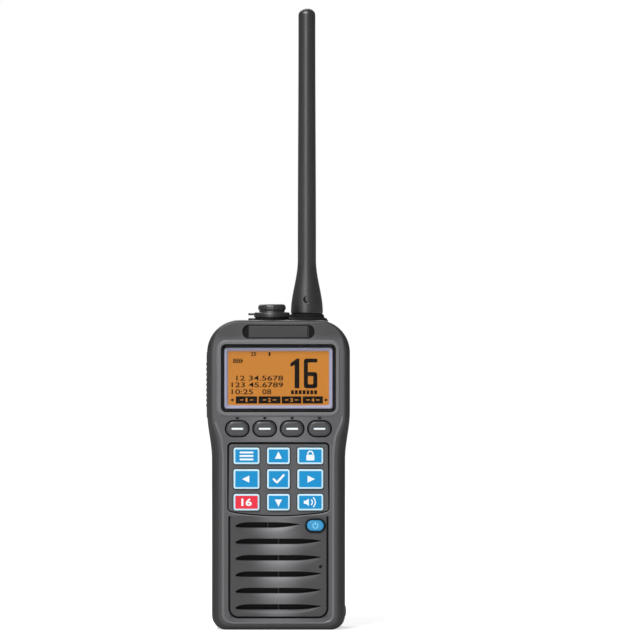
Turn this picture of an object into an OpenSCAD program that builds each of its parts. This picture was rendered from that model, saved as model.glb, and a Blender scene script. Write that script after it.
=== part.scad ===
// Handheld marine VHF radio: moulded case with display, keypad and louvred
// speaker grille, screw-on whip antenna, push-to-talk key, battery pack with
// belt clip. Millimetres, +Z up, front face towards -Y, origin in the middle
// of the flat base.

/* [Body] */
// Height of the body
body_h = 138; // [136:0.5:142]
// Width across the display
body_w = 63.7; // [62.5:0.1:66]
// Width across the grip, below the waist
grip_w = 59.4; // [58.6:0.1:61]
// Depth from the front face to the back of the battery pack
body_d = 38; // [37:0.5:42]
// Radius of the two top corners
top_r = 14.5; // [13:0.5:16]
// Radius of the two bottom corners
base_r = 6.5; // [5.5:0.5:8]
// Radius of the long edges between the faces and the sides
edge_r = 5; // [4:0.5:6]
// Radius of the front and back edges at the base
foot_r = 3; // [2:0.5:4]
// Wall of the two moulded shells
wall = 2; // [1.7:0.1:2.2]
// Depth of the front shell, from the face to the parting plane
shell_d = 18; // [18:0.5:20]
// Depth of the rear shell under the battery pack
rear_d = 6; // [5.5:0.5:7]
// Height of the waist, over which the width changes
waist_h = 21; // [16:1:26]

/* [Display] */
// Drop from the top face to the middle of the window
window_drop = 25.9; // [25:0.1:27]
// Width of the window lens opening
window_w = 51; // [49:0.5:52]
// Height of the window lens opening
window_h = 30.2; // [28:0.2:31]
// Width of the raised rim round the window
rim_w = 1.7; // [1.2:0.1:1.9]
// How far the rim stands out of the face
rim_t = 0.5; // [0.3:0.1:0.8]
// Thickness of the window lens
lens_t = 1.4; // [1:0.1:1.4]
// Width of the visible display
display_w = 44.9; // [42:0.1:45.5]
// Height of the visible display
display_h = 24.1; // [22:0.1:24.6]

/* [Badge plate] */
// Length of the recess for the badge plate
badge_w = 32; // [28:0.5:34]
// Height of the recess
badge_h = 6.1; // [5:0.1:6.4]
// Depth of the recess
badge_d = 1; // [0.8:0.1:1.2]

/* [Soft keys] */
// Width of a soft key
soft_w = 10.2; // [9:0.1:10.6]
// Height of a soft key
soft_h = 6.8; // [6:0.1:7.2]
// Distance between soft keys
soft_pitch = 12.2; // [12.2:0.1:12.6]
// Drop from the window's middle to the soft keys
soft_drop = 22.5; // [22:0.1:23]

/* [Keypad] */
// Width of the recessed keypad panel
pad_w = 45.5; // [44.5:0.1:46.5]
// Depth of the recessed panel
pad_d = 0.8; // [0.5:0.1:1]
// Distance between key columns
col_pitch = 14.2; // [13.8:0.1:14.6]
// Drop from the soft keys to the top key row
row_drop = 12.1; // [11.8:0.1:12.4]
// Distance between key rows
row_pitch = 10.3; // [10.2:0.1:10.6]
// Width of the outer keys
key_w = 11.6; // [10.6:0.1:12]
// Width of the middle keys
mid_key_w = 10.2; // [9.4:0.1:10.6]
// Height of the keys in the top and bottom rows
key_h = 7.4; // [6.8:0.1:7.6]
// Height of the keys in the middle row
mid_key_h = 8.8; // [8:0.1:8.9]
// How far the soft keys and the power key stand out of the face
key_proud = 0.8; // [0.4:0.1:1.2]
// Travel of every key
key_travel = 0.5; // [0.3:0.1:0.6]

/* [Grille] */
// Width of the grooved grille panel
grille_w = 44.5; // [43:0.5:45.5]
// Distance between louvre slots
slot_pitch = 7.3; // [7:0.1:7.4]
// Length of a slot
slot_l = 38; // [34:0.5:39]
// Height of a slot in its middle
slot_h = 2.4; // [2:0.1:2.7]
// Least height of the lowest slot above the base
slot_z0 = 9.5; // [9:0.1:10]
// Drop from the keypad panel to the power key and the top slot
power_drop = 4.5; // [4.3:0.1:5]
// Depth of a louvre's scoop at its slot
scoop_d = 1.1; // [0.8:0.1:1.3]

/* [Antenna] */
// Overall height of the radio with its antenna
total_h = 278; // [240:1:300]
// Radius of the antenna sleeve at its foot
sleeve_r = 7.2; // [6.5:0.1:7.6]
// Radius of the whip above the sleeve
whip_r = 4.1; // [3.6:0.1:4.6]
// Height over which the sleeve tapers into the whip
sleeve_h = 24; // [18:1:30]
// Distance of the antenna from the body's middle plane
antenna_x = 12.6; // [12.2:0.1:13]
// Radius of the antenna's threaded stud
stud_r = 3; // [2.6:0.1:3.4]
// Length of the stud below the antenna seat
stud_l = 8; // [6:0.5:9]

/* [Accessory jack] */
// Radius of the jack cap's flange
cap_r = 8; // [7.4:0.1:8]
// Radius of the jack cap's grip
cap_grip_r = 6.2; // [5.6:0.1:6.8]
// Distance of the jack from the body's middle plane, to the left
jack_x = 3; // [2.8:0.1:3.4]

/* [Push-to-talk key] */
// Length of the push-to-talk key
ptt_l = 30; // [26:1:31]
// Width of the push-to-talk key
ptt_w = 10; // [8:0.5:10]
// Travel of the push-to-talk key
ptt_travel = 0.8; // [0.5:0.1:1]

/* [Battery pack] */
// Height of the foot below the battery pack
bay_z0 = 14; // [13:0.5:16]
// Drop from the top face to the battery pack
bay_drop = 32; // [31:0.5:34]
// Wall of the battery case
pack_wall = 1.8; // [1.5:0.1:2]
// Radius of the lock screw's shank
lock_r = 2.5; // [2:0.1:2.8]

/* [Belt clip] */
// Length of the clip below its pin
clip_l = 56; // [46:1:60]
// Width of the clip
clip_w = 20; // [18:0.5:22]
// Gap between the clip and the battery pack
clip_gap = 7; // [6.8:0.1:8]
// Radius of the hinge pin
pin_r = 1.25; // [1:0.05:1.4]

/* [Hidden] */
$fn = 48;

// Clearances
gap = 0.3; // between pieces that move apart
run = 0.05; // radial, round a pin or shaft
key_gap = 0.25; // round a key in its hole
far = 200; // longer than the part, for cutting away a side

// Depths, from the front face backwards
face_y = -body_d/2;
back_y = body_d/2;
inner_y = face_y + wall;
part_y = face_y + shell_d;
bay_y = part_y + rear_d;
bay_floor_t = 1.8;
pad_y = face_y + pad_d;
lens_y = face_y + lens_t;

// Heights
window_z = body_h - window_drop;
soft_z = window_z - soft_drop;
row_z = [soft_z - row_drop, soft_z - row_drop - row_pitch, soft_z - row_drop - 2*row_pitch];
waist_z1 = window_z - window_h/2;
waist_z0 = waist_z1 - waist_h;
pad_z1 = row_z[0] + key_h/2 + 2.4;
pad_z0 = row_z[2] - key_h/2 - 2.2;
pad_sag = 1.6;
power_z = pad_z0 - power_drop;
slot_z = [for (z = [power_z:-slot_pitch:slot_z0]) z];
power_x = grille_w/2 - 5.8;
power_w = 7.6;
power_h = 4.8;
bay_z1 = body_h - bay_drop;

// The moulded outline. At height z, and t inside the outer skin.
function smooth(t) = let (s = min(1, max(0, t))) s*s*(3 - 2*s);
function side_w(z) = grip_w/2 + (body_w - grip_w)/2*smooth((z - waist_z0)/(waist_z1 - waist_z0));
function arc_in(r, d) = d >= r ? 0 : r - sqrt(max(0, r*r - (r - d)*(r - d)));
function half_w(z, t) = side_w(z) - t - arc_in(base_r - t, z - t) - arc_in(top_r - t, body_h - t - z);
function half_d(z) = body_d/2 - arc_in(foot_r, z) - arc_in(edge_r, body_h - z);
function levels(t) = concat(
  [for (i = [0:5]) t + (base_r - t)*(1 - cos(15*i))],
  [base_r],
  [for (i = [0:6]) waist_z0 + waist_h*i/6],
  [for (i = [0:8]) body_h - top_r + (top_r - t)*sin(90*i/8)]);

corner_steps = 6;
function section(z) = let (w = half_w(z, 0) - edge_r, d = half_d(z) - edge_r)
  [for (q = [0:3]) for (i = [0:corner_steps]) let (a = 90*q + 90*i/corner_steps)
    [(q == 0 || q == 3 ? w : -w) + edge_r*cos(a), (q < 2 ? d : -d) + edge_r*sin(a), z]];

// One closed form through all the sections, which the shells and the pack share
module body_form() {
  zs = levels(0);
  n = 4*(corner_steps + 1);
  polyhedron(
    points = [for (z = zs) each section(z)],
    faces = concat(
      [[for (i = [0:n - 1]) i]],
      [[for (i = [n - 1:-1:0]) (len(zs) - 1)*n + i]],
      [for (j = [0:len(zs) - 2]) for (i = [0:n - 1]) let (k = (i + 1)%n)
        each [[j*n + i, (j + 1)*n + i, (j + 1)*n + k], [j*n + i, (j + 1)*n + k, j*n + k]]]));
}

// The front outline, t inside the skin, as a flat drawing in x and z
module outline(t) {
  zs = levels(t);
  polygon(concat(
    [for (z = zs) [half_w(z, t), z]],
    [for (i = [len(zs) - 1:-1:0]) [-half_w(zs[i], t), zs[i]]]));
}

// A drawing in x and z, made solid between two depths
module face_extrude(y0, y1) translate([0, y1, 0]) rotate([90, 0, 0]) linear_extrude(y1 - y0) children();

// A drawing in y and z, made solid between two places across the body
module side_extrude(x0, x1) translate([x0, 0, 0]) rotate([90, 0, 90]) linear_extrude(x1 - x0) children();

// Rectangle with round corners, centred
module rrect(w, h, r) {
  square([w - 2*r, h], center = true);
  square([w, h - 2*r], center = true);
  for (x = [-1, 1], z = [-1, 1]) translate([x*(w/2 - r), z*(h/2 - r)]) circle(r);
}

// Slot shape with round ends, centred
module pill(w, h) {
  square([w - h, h], center = true);
  for (x = [-1, 1]) translate([x*(w - h)/2, 0]) circle(h/2);
}

// Lens between two large arcs, l long and h high
module lens_shape(l, h) {
  r = (l*l/4 + h*h/4)/h;
  intersection() {
    translate([0, r - h/2]) circle(r, $fn = 360);
    translate([0, h/2 - r]) circle(r, $fn = 360);
  }
}

// A round bar along Y
module bar_y(x, z, r, y0, y1) translate([x, y1, z]) rotate([90, 0, 0]) cylinder(r = r, h = y1 - y0);

// Screw bosses of the case, left and right of the speaker and of the keypad
boss_r = 2.5;
screw_r = 1.4;
screw_head_r = 2.4;
screw_head_t = 1.4;
boss_x = grip_w/2 - wall - boss_r - 0.2;
boss_z = [20, row_z[0] + 4.6];
module at_bosses() for (s = [-1, 1], z = boss_z) translate([s*boss_x, 0, z]) children();
module boss_bar(r, y0, y1) at_bosses() bar_y(0, 0, r, y0, y1);

// Antenna and jack positions on the top face
antenna_y = part_y + 6;
seat_r = 9.2;
boss_top_r = seat_r + 0.3;
bush_r = 5;
bush_flange_r = 6.4;
bush_l = 10;
seat_t = 1.2;
jack_y = part_y - 3.2;
jack_r = 6;
jack_bore_r = 4.6;
jack_z0 = body_h - 14;

// ---------------------------------------------------------------- keys
flange_t = 0.8;
flange_w = 0.6;
key_r = 1;
key_back_y = inner_y + 0.05 + flange_t;
key_x = [-col_pitch, 0, col_pitch];
key_widths = [key_w, mid_key_w, key_w];
key_heights = [key_h, mid_key_h, key_h];
soft_x = [for (i = [0:3]) (i - 1.5)*soft_pitch];

// One square key: its head in the panel, and its flange behind the wall
module pad_key(col, row) {
  w = key_widths[col];
  h = key_heights[row];
  translate([key_x[col], 0, row_z[row]]) {
    face_extrude(pad_y - key_proud, key_back_y) rrect(w, h, key_r);
    face_extrude(key_back_y - flange_t, key_back_y) rrect(w + 2*flange_w, h + 2*flange_w, key_r + flange_w);
  }
}

// One oval key: head w by h at (x, z)
module oval_key(x, z, w, h) {
  translate([x, 0, z]) {
    face_extrude(face_y - key_proud, key_back_y) pill(w, h);
    face_extrude(key_back_y - flange_t, key_back_y) pill(w + 2*flange_w, h + 2*flange_w);
  }
}

module soft_key(i) color([0.27, 0.27, 0.28]) oval_key(soft_x[i], soft_z, soft_w, soft_h);
module soft_key_1() soft_key(0);
module soft_key_2() soft_key(1);
module soft_key_3() soft_key(2);
module soft_key_4() soft_key(3);
module blue_key(col, row) color([0.12, 0.58, 0.84]) pad_key(col, row);
module key_menu() blue_key(0, 0);
module key_up() blue_key(1, 0);
module key_clear() blue_key(2, 0);
module key_left() blue_key(0, 1);
module key_ok() blue_key(1, 1);
module key_right() blue_key(2, 1);
module key_16() color([0.88, 0.18, 0.24]) pad_key(0, 2);
module key_down() blue_key(1, 2);
module key_volume() blue_key(2, 2);
module power_key() color([0.12, 0.55, 0.78]) oval_key(power_x, power_z, power_w, power_h);

// Dark ring round the power key, pressed into the face
ring_w = 0.65;
ring_d = 1.4;
module power_ring_shape() pill(power_w + 2*key_gap + 2*ring_w, power_h + 2*key_gap + 2*ring_w);
module power_key_ring() color([0.08, 0.08, 0.09]) translate([power_x, 0, power_z])
  face_extrude(face_y - key_proud/2, face_y + ring_d) difference() {
    power_ring_shape();
    pill(power_w + 2*key_gap, power_h + 2*key_gap);
  }

module key_holes(y0, y1) {
  face_extrude(y0, y1) {
    for (x = soft_x) translate([x, soft_z]) pill(soft_w + 2*key_gap, soft_h + 2*key_gap);
    translate([power_x, power_z]) pill(power_w + 2*key_gap, power_h + 2*key_gap);
    for (c = [0:2], r = [0:2]) translate([key_x[c], row_z[r]])
      rrect(key_widths[c] + 2*key_gap, key_heights[r] + 2*key_gap, key_r + key_gap);
  }
}

// ---------------------------------------------------------------- front shell
ledge_w = 1.35;
pad_r = 2;
groove_w = 0.8;
groove_d = 0.7;
grille_r = 4.5;
grille_z0 = 5.2;
mic_x = 18.7;
mic_r = 0.6;
mic_z = power_z - 2.5*slot_pitch;
tick_l = 1.6;
tick_h = 0.8;
tick_t = 0.4;
rib_t = 1;
rib_x = pad_w/2 - rib_t;
post_z1 = row_z[0] + key_h/2;

// Recessed panel under the keys, its lower edge bowed downwards
module pad_shape() {
  bow_r = (pad_w*pad_w/4 + pad_sag*pad_sag)/(2*pad_sag);
  translate([0, (pad_z1 + pad_z0 + pad_sag)/2]) rrect(pad_w, pad_z1 - pad_z0 - pad_sag, pad_r);
  intersection() {
    translate([0, pad_z0 + bow_r]) circle(bow_r, $fn = 360);
    translate([-pad_w/2 + pad_r/2, pad_z0 - 1]) square([pad_w - pad_r, pad_sag + pad_r + 1]);
  }
}

// U-shaped groove round the grille
module grille_groove() {
  top = pad_z0 + pad_sag;
  module u(w, z0, r) {
    translate([-w/2, z0 + r]) square([w, top - z0 - r]);
    translate([-w/2 + r, z0]) square([w - 2*r, r + 1]);
    for (s = [-1, 1]) translate([s*(w/2 - r), z0 + r]) circle(r);
  }
  difference() {
    u(grille_w, grille_z0, grille_r);
    u(grille_w - 2*groove_w, grille_z0 + groove_w, grille_r - groove_w);
  }
}

// One louvre: a lens-shaped slot with a middle rib, and a scoop that slopes in to it from below
scoop_h = 6;
scoop_end = 1.5;
slot_rib = 0.8;
module louvre(z, l, x) {
  slope = atan(scoop_d/(scoop_h/2));
  difference() {
    face_extrude(face_y - 1, inner_y + 1) translate([x, z]) lens_shape(l, slot_h);
    translate([x - slot_rib/2, face_y + scoop_d, z - slot_h]) cube([slot_rib, wall, 2*slot_h]);
  }
  translate([x, face_y + scoop_d, z]) rotate([-slope, 0, 0]) face_extrude(-3*scoop_d, 0)
    intersection() {
      lens_shape(l - 2*scoop_end, scoop_h);
      translate([-l/2, -scoop_h]) square([l, scoop_h]);
    }
}

module louvres() {
  for (i = [1:len(slot_z) - 1]) louvre(slot_z[i], slot_l, 0);
  short = slot_l/2 + power_x - power_w/2 - 3.2;
  louvre(slot_z[0], short, short/2 - slot_l/2);
}

// Push-to-talk opening in the left wall
ptt_y = part_y - 3 - ptt_w/2;
ptt_z = window_z - 3;
ptt_r = 4;
ptt_proud = 0.5;
ptt_flange_t = 1;
ptt_flange_w = 0.9;
module ptt_shape(grow) translate([ptt_y, ptt_z]) rrect(ptt_w + 2*grow, ptt_l + 2*grow, ptt_r + grow);

// Gasket path, in the middle of the wall at the parting plane
gasket_in = 0.7;
gasket_w = 0.7;
gasket_t = 0.7;
module gasket_ring() difference() {
  outline(gasket_in);
  outline(gasket_in + gasket_w);
}

module top_holes() {
  translate([-jack_x, jack_y, jack_z0]) cylinder(r = jack_r + run, h = far);
  translate([antenna_x, antenna_y, jack_z0]) cylinder(r = bush_r + run, h = far);
}

module whole_form() {
  body_form();
  translate([antenna_x, antenna_y, body_h - 6]) cylinder(r = boss_top_r, h = 6);
}

module front_case() color([0.33, 0.33, 0.34]) difference() {
  union() {
    intersection() {
      whole_form();
      translate([-far/2, part_y - far, -1]) cube([far, far, 2*far]);
    }
    // raised rim round the window
    face_extrude(face_y - rim_t, face_y + 1) translate([0, window_z])
      rrect(window_w + 2*rim_w, window_h + 2*rim_w, 4);
    // pointer marks over the soft keys
    for (x = soft_x) face_extrude(face_y - tick_t, face_y + 1)
      translate([x, soft_z + soft_h/2 + 1.2]) pill(tick_l, tick_h);
  }
  difference() {
    face_extrude(inner_y, part_y + 1) outline(wall);
    boss_bar(boss_r, inner_y - 1, part_y + 2);
    // ribs that the key board stands on
    for (s = [-1, 1]) translate([s*rib_x - rib_t/2, inner_y - 1, pad_z0])
      cube([rib_t, board_gap + 1, post_z1 - pad_z0]);
  }
  boss_bar(screw_r + run, inner_y + 2, part_y + 1);
  face_extrude(part_y - gasket_t, part_y + 1) gasket_ring();
  // window: seat of the lens, and the opening behind it
  face_extrude(face_y - 2, lens_y) translate([0, window_z]) rrect(window_w, window_h, 2.2);
  face_extrude(face_y - 2, inner_y + 1) translate([0, window_z])
    rrect(window_w - 2*ledge_w, window_h - 2*ledge_w, 1.2);
  // badge recess, stepped at both ends
  translate([0, 0, badge_z]) {
    face_extrude(face_y - 2, face_y + badge_d) rrect(badge_w - 5.5, badge_h, 0.4);
    face_extrude(face_y - 2, face_y + badge_d/2) rrect(badge_w, badge_h, badge_h/2 - 0.2);
  }
  face_extrude(face_y - 2, pad_y) pad_shape();
  face_extrude(face_y - 1, face_y + groove_d) grille_groove();
  translate([power_x, 0, power_z]) face_extrude(face_y - 1, face_y + ring_d) power_ring_shape();
  key_holes(face_y - 2, inner_y + 1);
  louvres();
  bar_y(mic_x, mic_z, mic_r, face_y - 1, inner_y + 1);
  side_extrude(-body_w/2 - 2, -body_w/2 + wall + 2) ptt_shape(gap);
  top_holes();
}

badge_z = body_h - 5.2;
module badge_plate() color([0.24, 0.24, 0.25]) translate([0, 0, badge_z])
  face_extrude(face_y + 0.3, face_y + badge_d) rrect(badge_w - 5.5, badge_h, 0.4);

// ---------------------------------------------------------------- display
bezel_t = 1;
panel_t = 2;
holder_t = 1.6;
bezel_y = lens_y + bezel_t;
panel_y = bezel_y + panel_t;
holder_w = window_w - 2*ledge_w + 1.6;
holder_h = window_h - 2*ledge_w + 1.6;
module window_lens() color([0.1, 0.1, 0.12, 0.35]) face_extrude(face_y, lens_y)
  translate([0, window_z]) rrect(window_w - 0.2, window_h - 0.2, 2.1);
module display_bezel() color([0.55, 0.55, 0.66]) face_extrude(lens_y, bezel_y) translate([0, window_z])
  difference() {
    rrect(window_w - 2*ledge_w - 0.1, window_h - 2*ledge_w - 0.1, 1.15);
    rrect(display_w, display_h, 0.6);
  }
module display_panel() color([0.85, 0.53, 0.14]) face_extrude(bezel_y, panel_y)
  translate([0, window_z]) square([holder_w - 2.4, holder_h - 2.4], center = true);
module display_holder() color([0.9, 0.9, 0.88]) translate([0, 0, window_z]) difference() {
  face_extrude(inner_y, panel_y + holder_t) square([holder_w, holder_h], center = true);
  face_extrude(inner_y - 1, panel_y) square([holder_w - 2.2, holder_h - 2.2], center = true);
  face_extrude(inner_y - 1, bezel_y) square([holder_w - 1.6, holder_h - 1.6], center = true);
}

// ---------------------------------------------------------------- boards
mat_t = 0.8;
key_board_t = 1.2;
mat_y = key_back_y + key_travel + 0.3;
board_gap = mat_y + mat_t - inner_y;
main_t = 1.6;
plate_t = 2;
main_y = part_y - plate_t - main_t;
main_w = min(grip_w - 2*wall - 2, body_w - 2*(wall + gap + ptt_flange_t + ptt_travel + 0.2));
main_z0 = 6;
module keypad_mat() color([0.2, 0.2, 0.22]) face_extrude(mat_y, mat_y + mat_t)
  translate([-rib_x + rib_t, pad_z0]) square([2*rib_x - 2*rib_t, soft_z + soft_h/2 - pad_z0]);
// Board behind the keypad, with a leg that runs down behind the power key
module key_board() color([0.1, 0.4, 0.25]) face_extrude(mat_y + mat_t, mat_y + mat_t + key_board_t) {
  translate([-rib_x - rib_t/2, pad_z0]) square([2*rib_x + rib_t, soft_z + soft_h/2 - pad_z0]);
  translate([power_x - power_w/2, power_z - power_h/2])
    square([rib_x + rib_t/2 - power_x + power_w/2, pad_z0 - power_z + power_h/2 + 1]);
}
module board_shape(z0, z1) difference() {
  translate([-main_w/2, z0]) square([main_w, z1 - z0]);
  for (s = [-1, 1], z = boss_z) translate([s*boss_x, z]) circle(boss_r + gap);
  for (s = [-1, 1], z = boss_z) translate([s > 0 ? boss_x : -boss_x - 2*boss_r, z - boss_r - gap])
    square([2*boss_r, 2*boss_r + 2*gap]);
}
module main_board() color([0.1, 0.42, 0.28]) face_extrude(main_y, main_y + main_t)
  board_shape(main_z0, jack_z0);
module chassis_plate() color([0.7, 0.71, 0.73]) face_extrude(main_y + main_t, part_y)
  board_shape(main_z0 + 2, jack_z0 - 2);
can_w = 34;
can_d = 4;
can_wall = 0.4;
module shield_can() color([0.75, 0.75, 0.76]) difference() {
  translate([-can_w/2, main_y - can_d, row_z[2]]) cube([can_w, can_d, row_z[0] - row_z[2]]);
  translate([can_wall - can_w/2, main_y - can_d + can_wall, row_z[2] + can_wall])
    cube([can_w - 2*can_wall, can_d, row_z[0] - row_z[2] - 2*can_wall]);
}
patch_w = 9;
patch_t = 4;
module position_patch() color([0.82, 0.78, 0.68])
  translate([-main_w/2 + 3, main_y + main_t - patch_w, jack_z0]) cube([patch_w, patch_w, patch_t]);
switch_w = 5;
switch_d = 6;
switch_h = 8;
plunger_w = 3;
module ptt_switch() color([0.15, 0.15, 0.16]) {
  x1 = -side_w(ptt_z) + wall + gap + ptt_flange_t + ptt_travel;
  translate([-main_w/2, main_y - switch_d, ptt_z - switch_h/2]) cube([switch_w, switch_d, switch_h]);
  translate([x1 + 0.1, main_y - switch_d/2 - plunger_w/2, ptt_z - plunger_w/2])
    cube([-main_w/2 - x1, plunger_w, plunger_w]);
}

// ---------------------------------------------------------------- speaker and microphone
speaker_r = 15;
speaker_x = -2;
speaker_z = grille_z0 + speaker_r + 1.75;
membrane_t = 0.3;
basket_y = inner_y + membrane_t;
basket_d = 7;
magnet_r = 8;
magnet_d = 3;
cone_t = 0.5;
module at_speaker() translate([speaker_x, basket_y, speaker_z]) rotate([-90, 0, 0]) children();
module speaker_membrane() color([0.12, 0.12, 0.13])
  bar_y(speaker_x, speaker_z, speaker_r + 1.5, inner_y, basket_y);
module speaker_basket() color([0.45, 0.46, 0.48]) at_speaker() rotate_extrude() polygon([
  [speaker_r - 1.5, 0], [speaker_r, 0], [speaker_r, 2], [magnet_r + 2, basket_d], [3, basket_d],
  [3, basket_d - 1.2], [magnet_r + 1.4, basket_d - 1.2], [speaker_r - 1.5, 1.7]]);
module speaker_cone() color([0.18, 0.17, 0.16]) at_speaker() rotate_extrude() polygon([
  [0, 3], [2, 3.2], [4, 4.2], [speaker_r - 1.5, 0], [speaker_r - 1.5, cone_t + 0.2], [4.2, 4.7 + cone_t],
  [2, 3.2 + cone_t], [0, 3 + cone_t]]);
module speaker_magnet() color([0.3, 0.3, 0.31]) at_speaker() translate([0, 0, basket_d])
  cylinder(r = magnet_r, h = magnet_d);
boot_r = 2.6;
capsule_r = 1.9;
boot_d = 5;
module mic_boot() color([0.1, 0.1, 0.1]) difference() {
  bar_y(mic_x, mic_z, boot_r, inner_y, inner_y + boot_d);
  bar_y(mic_x, mic_z, capsule_r, inner_y + 2, inner_y + boot_d + 1);
  bar_y(mic_x, mic_z, mic_r, inner_y - 1, inner_y + 3);
}
module mic_capsule() color([0.7, 0.7, 0.7])
  bar_y(mic_x, mic_z, capsule_r, inner_y + 2, inner_y + boot_d - 0.4);

// ---------------------------------------------------------------- rear shell
post_x = 14;
post_w = 4;
contact_z = bay_z0 + 19;
contact_pitch = 6;
contact_r = 1.5;
lock_z = bay_z0 + 9;
eye_r = 2;
eye_z = 7;
eye_y = back_y - 4.2;
eye_pocket = [grip_w/2 - 16, grip_w/2 - 8.5];
module rear_case() color([0.2, 0.2, 0.21]) difference() {
  intersection() {
    whole_form();
    translate([-far/2, part_y, -1]) cube([far, far, far]);
  }
  difference() {
    union() {
      face_extrude(part_y - 1, bay_y - bay_floor_t) outline(wall);
      intersection() {
        face_extrude(part_y - 1, back_y - wall - 1) outline(wall);
        translate([-far/2, part_y - 1, bay_z1 + wall]) cube([far, body_d, far]);
      }
    }
    boss_bar(boss_r + 1, part_y - 2, bay_y);
    // posts that hold the chassis plate
    for (s = [-1, 1], z = [contact_z + 8, bay_z1 - 10])
      translate([s*post_x - post_w/2, part_y - 2, z]) cube([post_w, rear_d + 2, post_w]);
    // socket of the battery lock screw
    bar_y(0, lock_z, lock_r + 2, part_y - 2, bay_y);
    // collar of the antenna bush
    translate([antenna_x, antenna_y, body_h - 5]) cylinder(r = boss_top_r - 1, h = 10);
  }
  // battery bay
  translate([-far/2, bay_y, bay_z0]) cube([far, far, bay_z1 - bay_z0]);
  boss_bar(screw_r + 0.2, part_y - 2, bay_y + 1);
  boss_bar(screw_head_r + 0.1, bay_y - screw_head_t, bay_y + 1);
  bar_y(0, lock_z, lock_r + 0.15, bay_y - 4, bay_y + 1);
  for (i = [-1:1]) bar_y(i*contact_pitch, contact_z, contact_r, part_y - 1, bay_y + 1);
  top_holes();
  translate([antenna_x, antenna_y, jack_z0]) cylinder(r = bush_flange_r + run, h = jack_flange_z - jack_z0);
  // lanyard eye in the left back corner of the foot: a pocket, and a bore from it to the side
  translate([eye_pocket[0], eye_y - 3, eye_z - 3]) cube([eye_pocket[1] - eye_pocket[0], 10, 6]);
  side_extrude(eye_pocket[0] + 1, far) translate([eye_y, eye_z]) circle(eye_r);
}
jack_flange_z = body_h - wall - 1.2;

module case_gasket() color([0.06, 0.06, 0.06]) difference() {
  face_extrude(part_y - gasket_t, part_y) gasket_ring();
  top_holes();
}

module case_screws() color([0.6, 0.6, 0.62]) at_bosses() {
  difference() {
    bar_y(0, 0, screw_head_r, bay_y - screw_head_t, bay_y - 0.1);
    bar_y(0, 0, 0.9, bay_y - 0.9, bay_y + 1, $fn = 6);
  }
  bar_y(0, 0, screw_r, part_y - 8, bay_y - screw_head_t);
}

module battery_contacts() color([0.85, 0.7, 0.3]) for (i = [-1:1]) {
  bar_y(i*contact_pitch, contact_z, contact_r, part_y, bay_y - 0.2);
  bar_y(i*contact_pitch, contact_z, 0.8, bay_y - 0.3, bay_y + 0.1);
}

// ---------------------------------------------------------------- antenna
seat_z = body_h + seat_t;
stud_gap = 0.1;
core_r = 2.2;
sleeve_steps = 12;
tip_r = whip_r - 0.3;
module at_antenna() translate([antenna_x, antenna_y, 0]) children();

module antenna_bush() color([0.8, 0.65, 0.3]) at_antenna() difference() {
  union() {
    translate([0, 0, body_h - bush_l]) cylinder(r = bush_r, h = bush_l);
    translate([0, 0, jack_flange_z - 1.4]) cylinder(r = bush_flange_r, h = 1.4);
  }
  translate([0, 0, body_h - bush_l + 1]) cylinder(r = stud_r + stud_gap, h = bush_l);
}

// Skirted ring that the antenna stands on
module antenna_seat() color([0.13, 0.13, 0.14]) at_antenna() rotate_extrude() polygon([
  [stud_r + 1, body_h], [seat_r, body_h], [seat_r, body_h + 0.5], [seat_r - 0.6, seat_z], [stud_r + 1, seat_z]]);

// Radius of the sheath at height s above its foot: a level skirt, half a cosine wave, then the whip
function sheath_r(s) = s >= sleeve_h ? whip_r
  : whip_r + (sleeve_r - whip_r)*(1 + cos(180*s/sleeve_h))/2;
module antenna_sheath() color([0.16, 0.16, 0.17]) at_antenna() difference() {
  rotate_extrude() polygon(concat(
    [[0, seat_z + gap], [sleeve_r + 0.5, seat_z + gap], [sleeve_r + 0.5, seat_z + 1.1],
      [sleeve_r - 0.1, seat_z + 1.3], [sleeve_r - 0.1, seat_z + 1.7]],
    [for (i = [0:sleeve_steps]) let (s = sleeve_h*i/sleeve_steps) [sheath_r(s), seat_z + 2 + s]],
    [for (i = [0:6]) [tip_r*cos(15*i), total_h - tip_r*0.8*(1 - sin(15*i))]]));
  translate([0, 0, seat_z]) cylinder(r = core_r + run, h = total_h - seat_z - 8);
  translate([0, 0, seat_z]) cylinder(r = stud_r + 1.5 + run, h = 6);
}
module antenna_core() color([0.75, 0.6, 0.3]) at_antenna()
  translate([0, 0, seat_z + 6]) cylinder(r = core_r, h = total_h - seat_z - 16);
module antenna_plug() color([0.82, 0.68, 0.32]) at_antenna() {
  translate([0, 0, body_h - stud_l]) cylinder(r = stud_r, h = stud_l + seat_t + gap);
  translate([0, 0, seat_z + gap]) cylinder(r = stud_r + 1.5, h = 5.6 - gap);
}

// ---------------------------------------------------------------- accessory jack and its cap
jack_seat_t = 0.8;
cap_z = body_h + jack_seat_t + gap;
cap_flange_t = 2.4;
cap_grip_t = 3.6;
tab_reach = 13.6;
tab_x = tab_reach - jack_x;
seat_tab_w = 5;
cap_tab_w = 3.6;
cap_tab_t = 1;
coin_slot_w = 4;
coin_slot_d = 0.7;
module at_jack() translate([-jack_x, jack_y, 0]) children();
module accessory_jack() color([0.1, 0.1, 0.11]) at_jack() difference() {
  translate([0, 0, jack_z0]) cylinder(r = jack_r, h = body_h - jack_z0);
  translate([0, 0, body_h - 6]) cylinder(r = jack_bore_r, h = 7);
  translate([0, 0, jack_z0 + 1.5]) cylinder(r = 1.8, h = far);
}
module jack_seat() color([0.13, 0.13, 0.14]) at_jack() difference() {
  union() {
    translate([0, 0, body_h]) cylinder(r = cap_r - 0.2, h = jack_seat_t);
    translate([-tab_x, -seat_tab_w/2, body_h]) cube([tab_x, seat_tab_w, jack_seat_t]);
  }
  translate([0, 0, body_h - 1]) cylinder(r = jack_bore_r + 1.6, h = 3);
}
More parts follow.
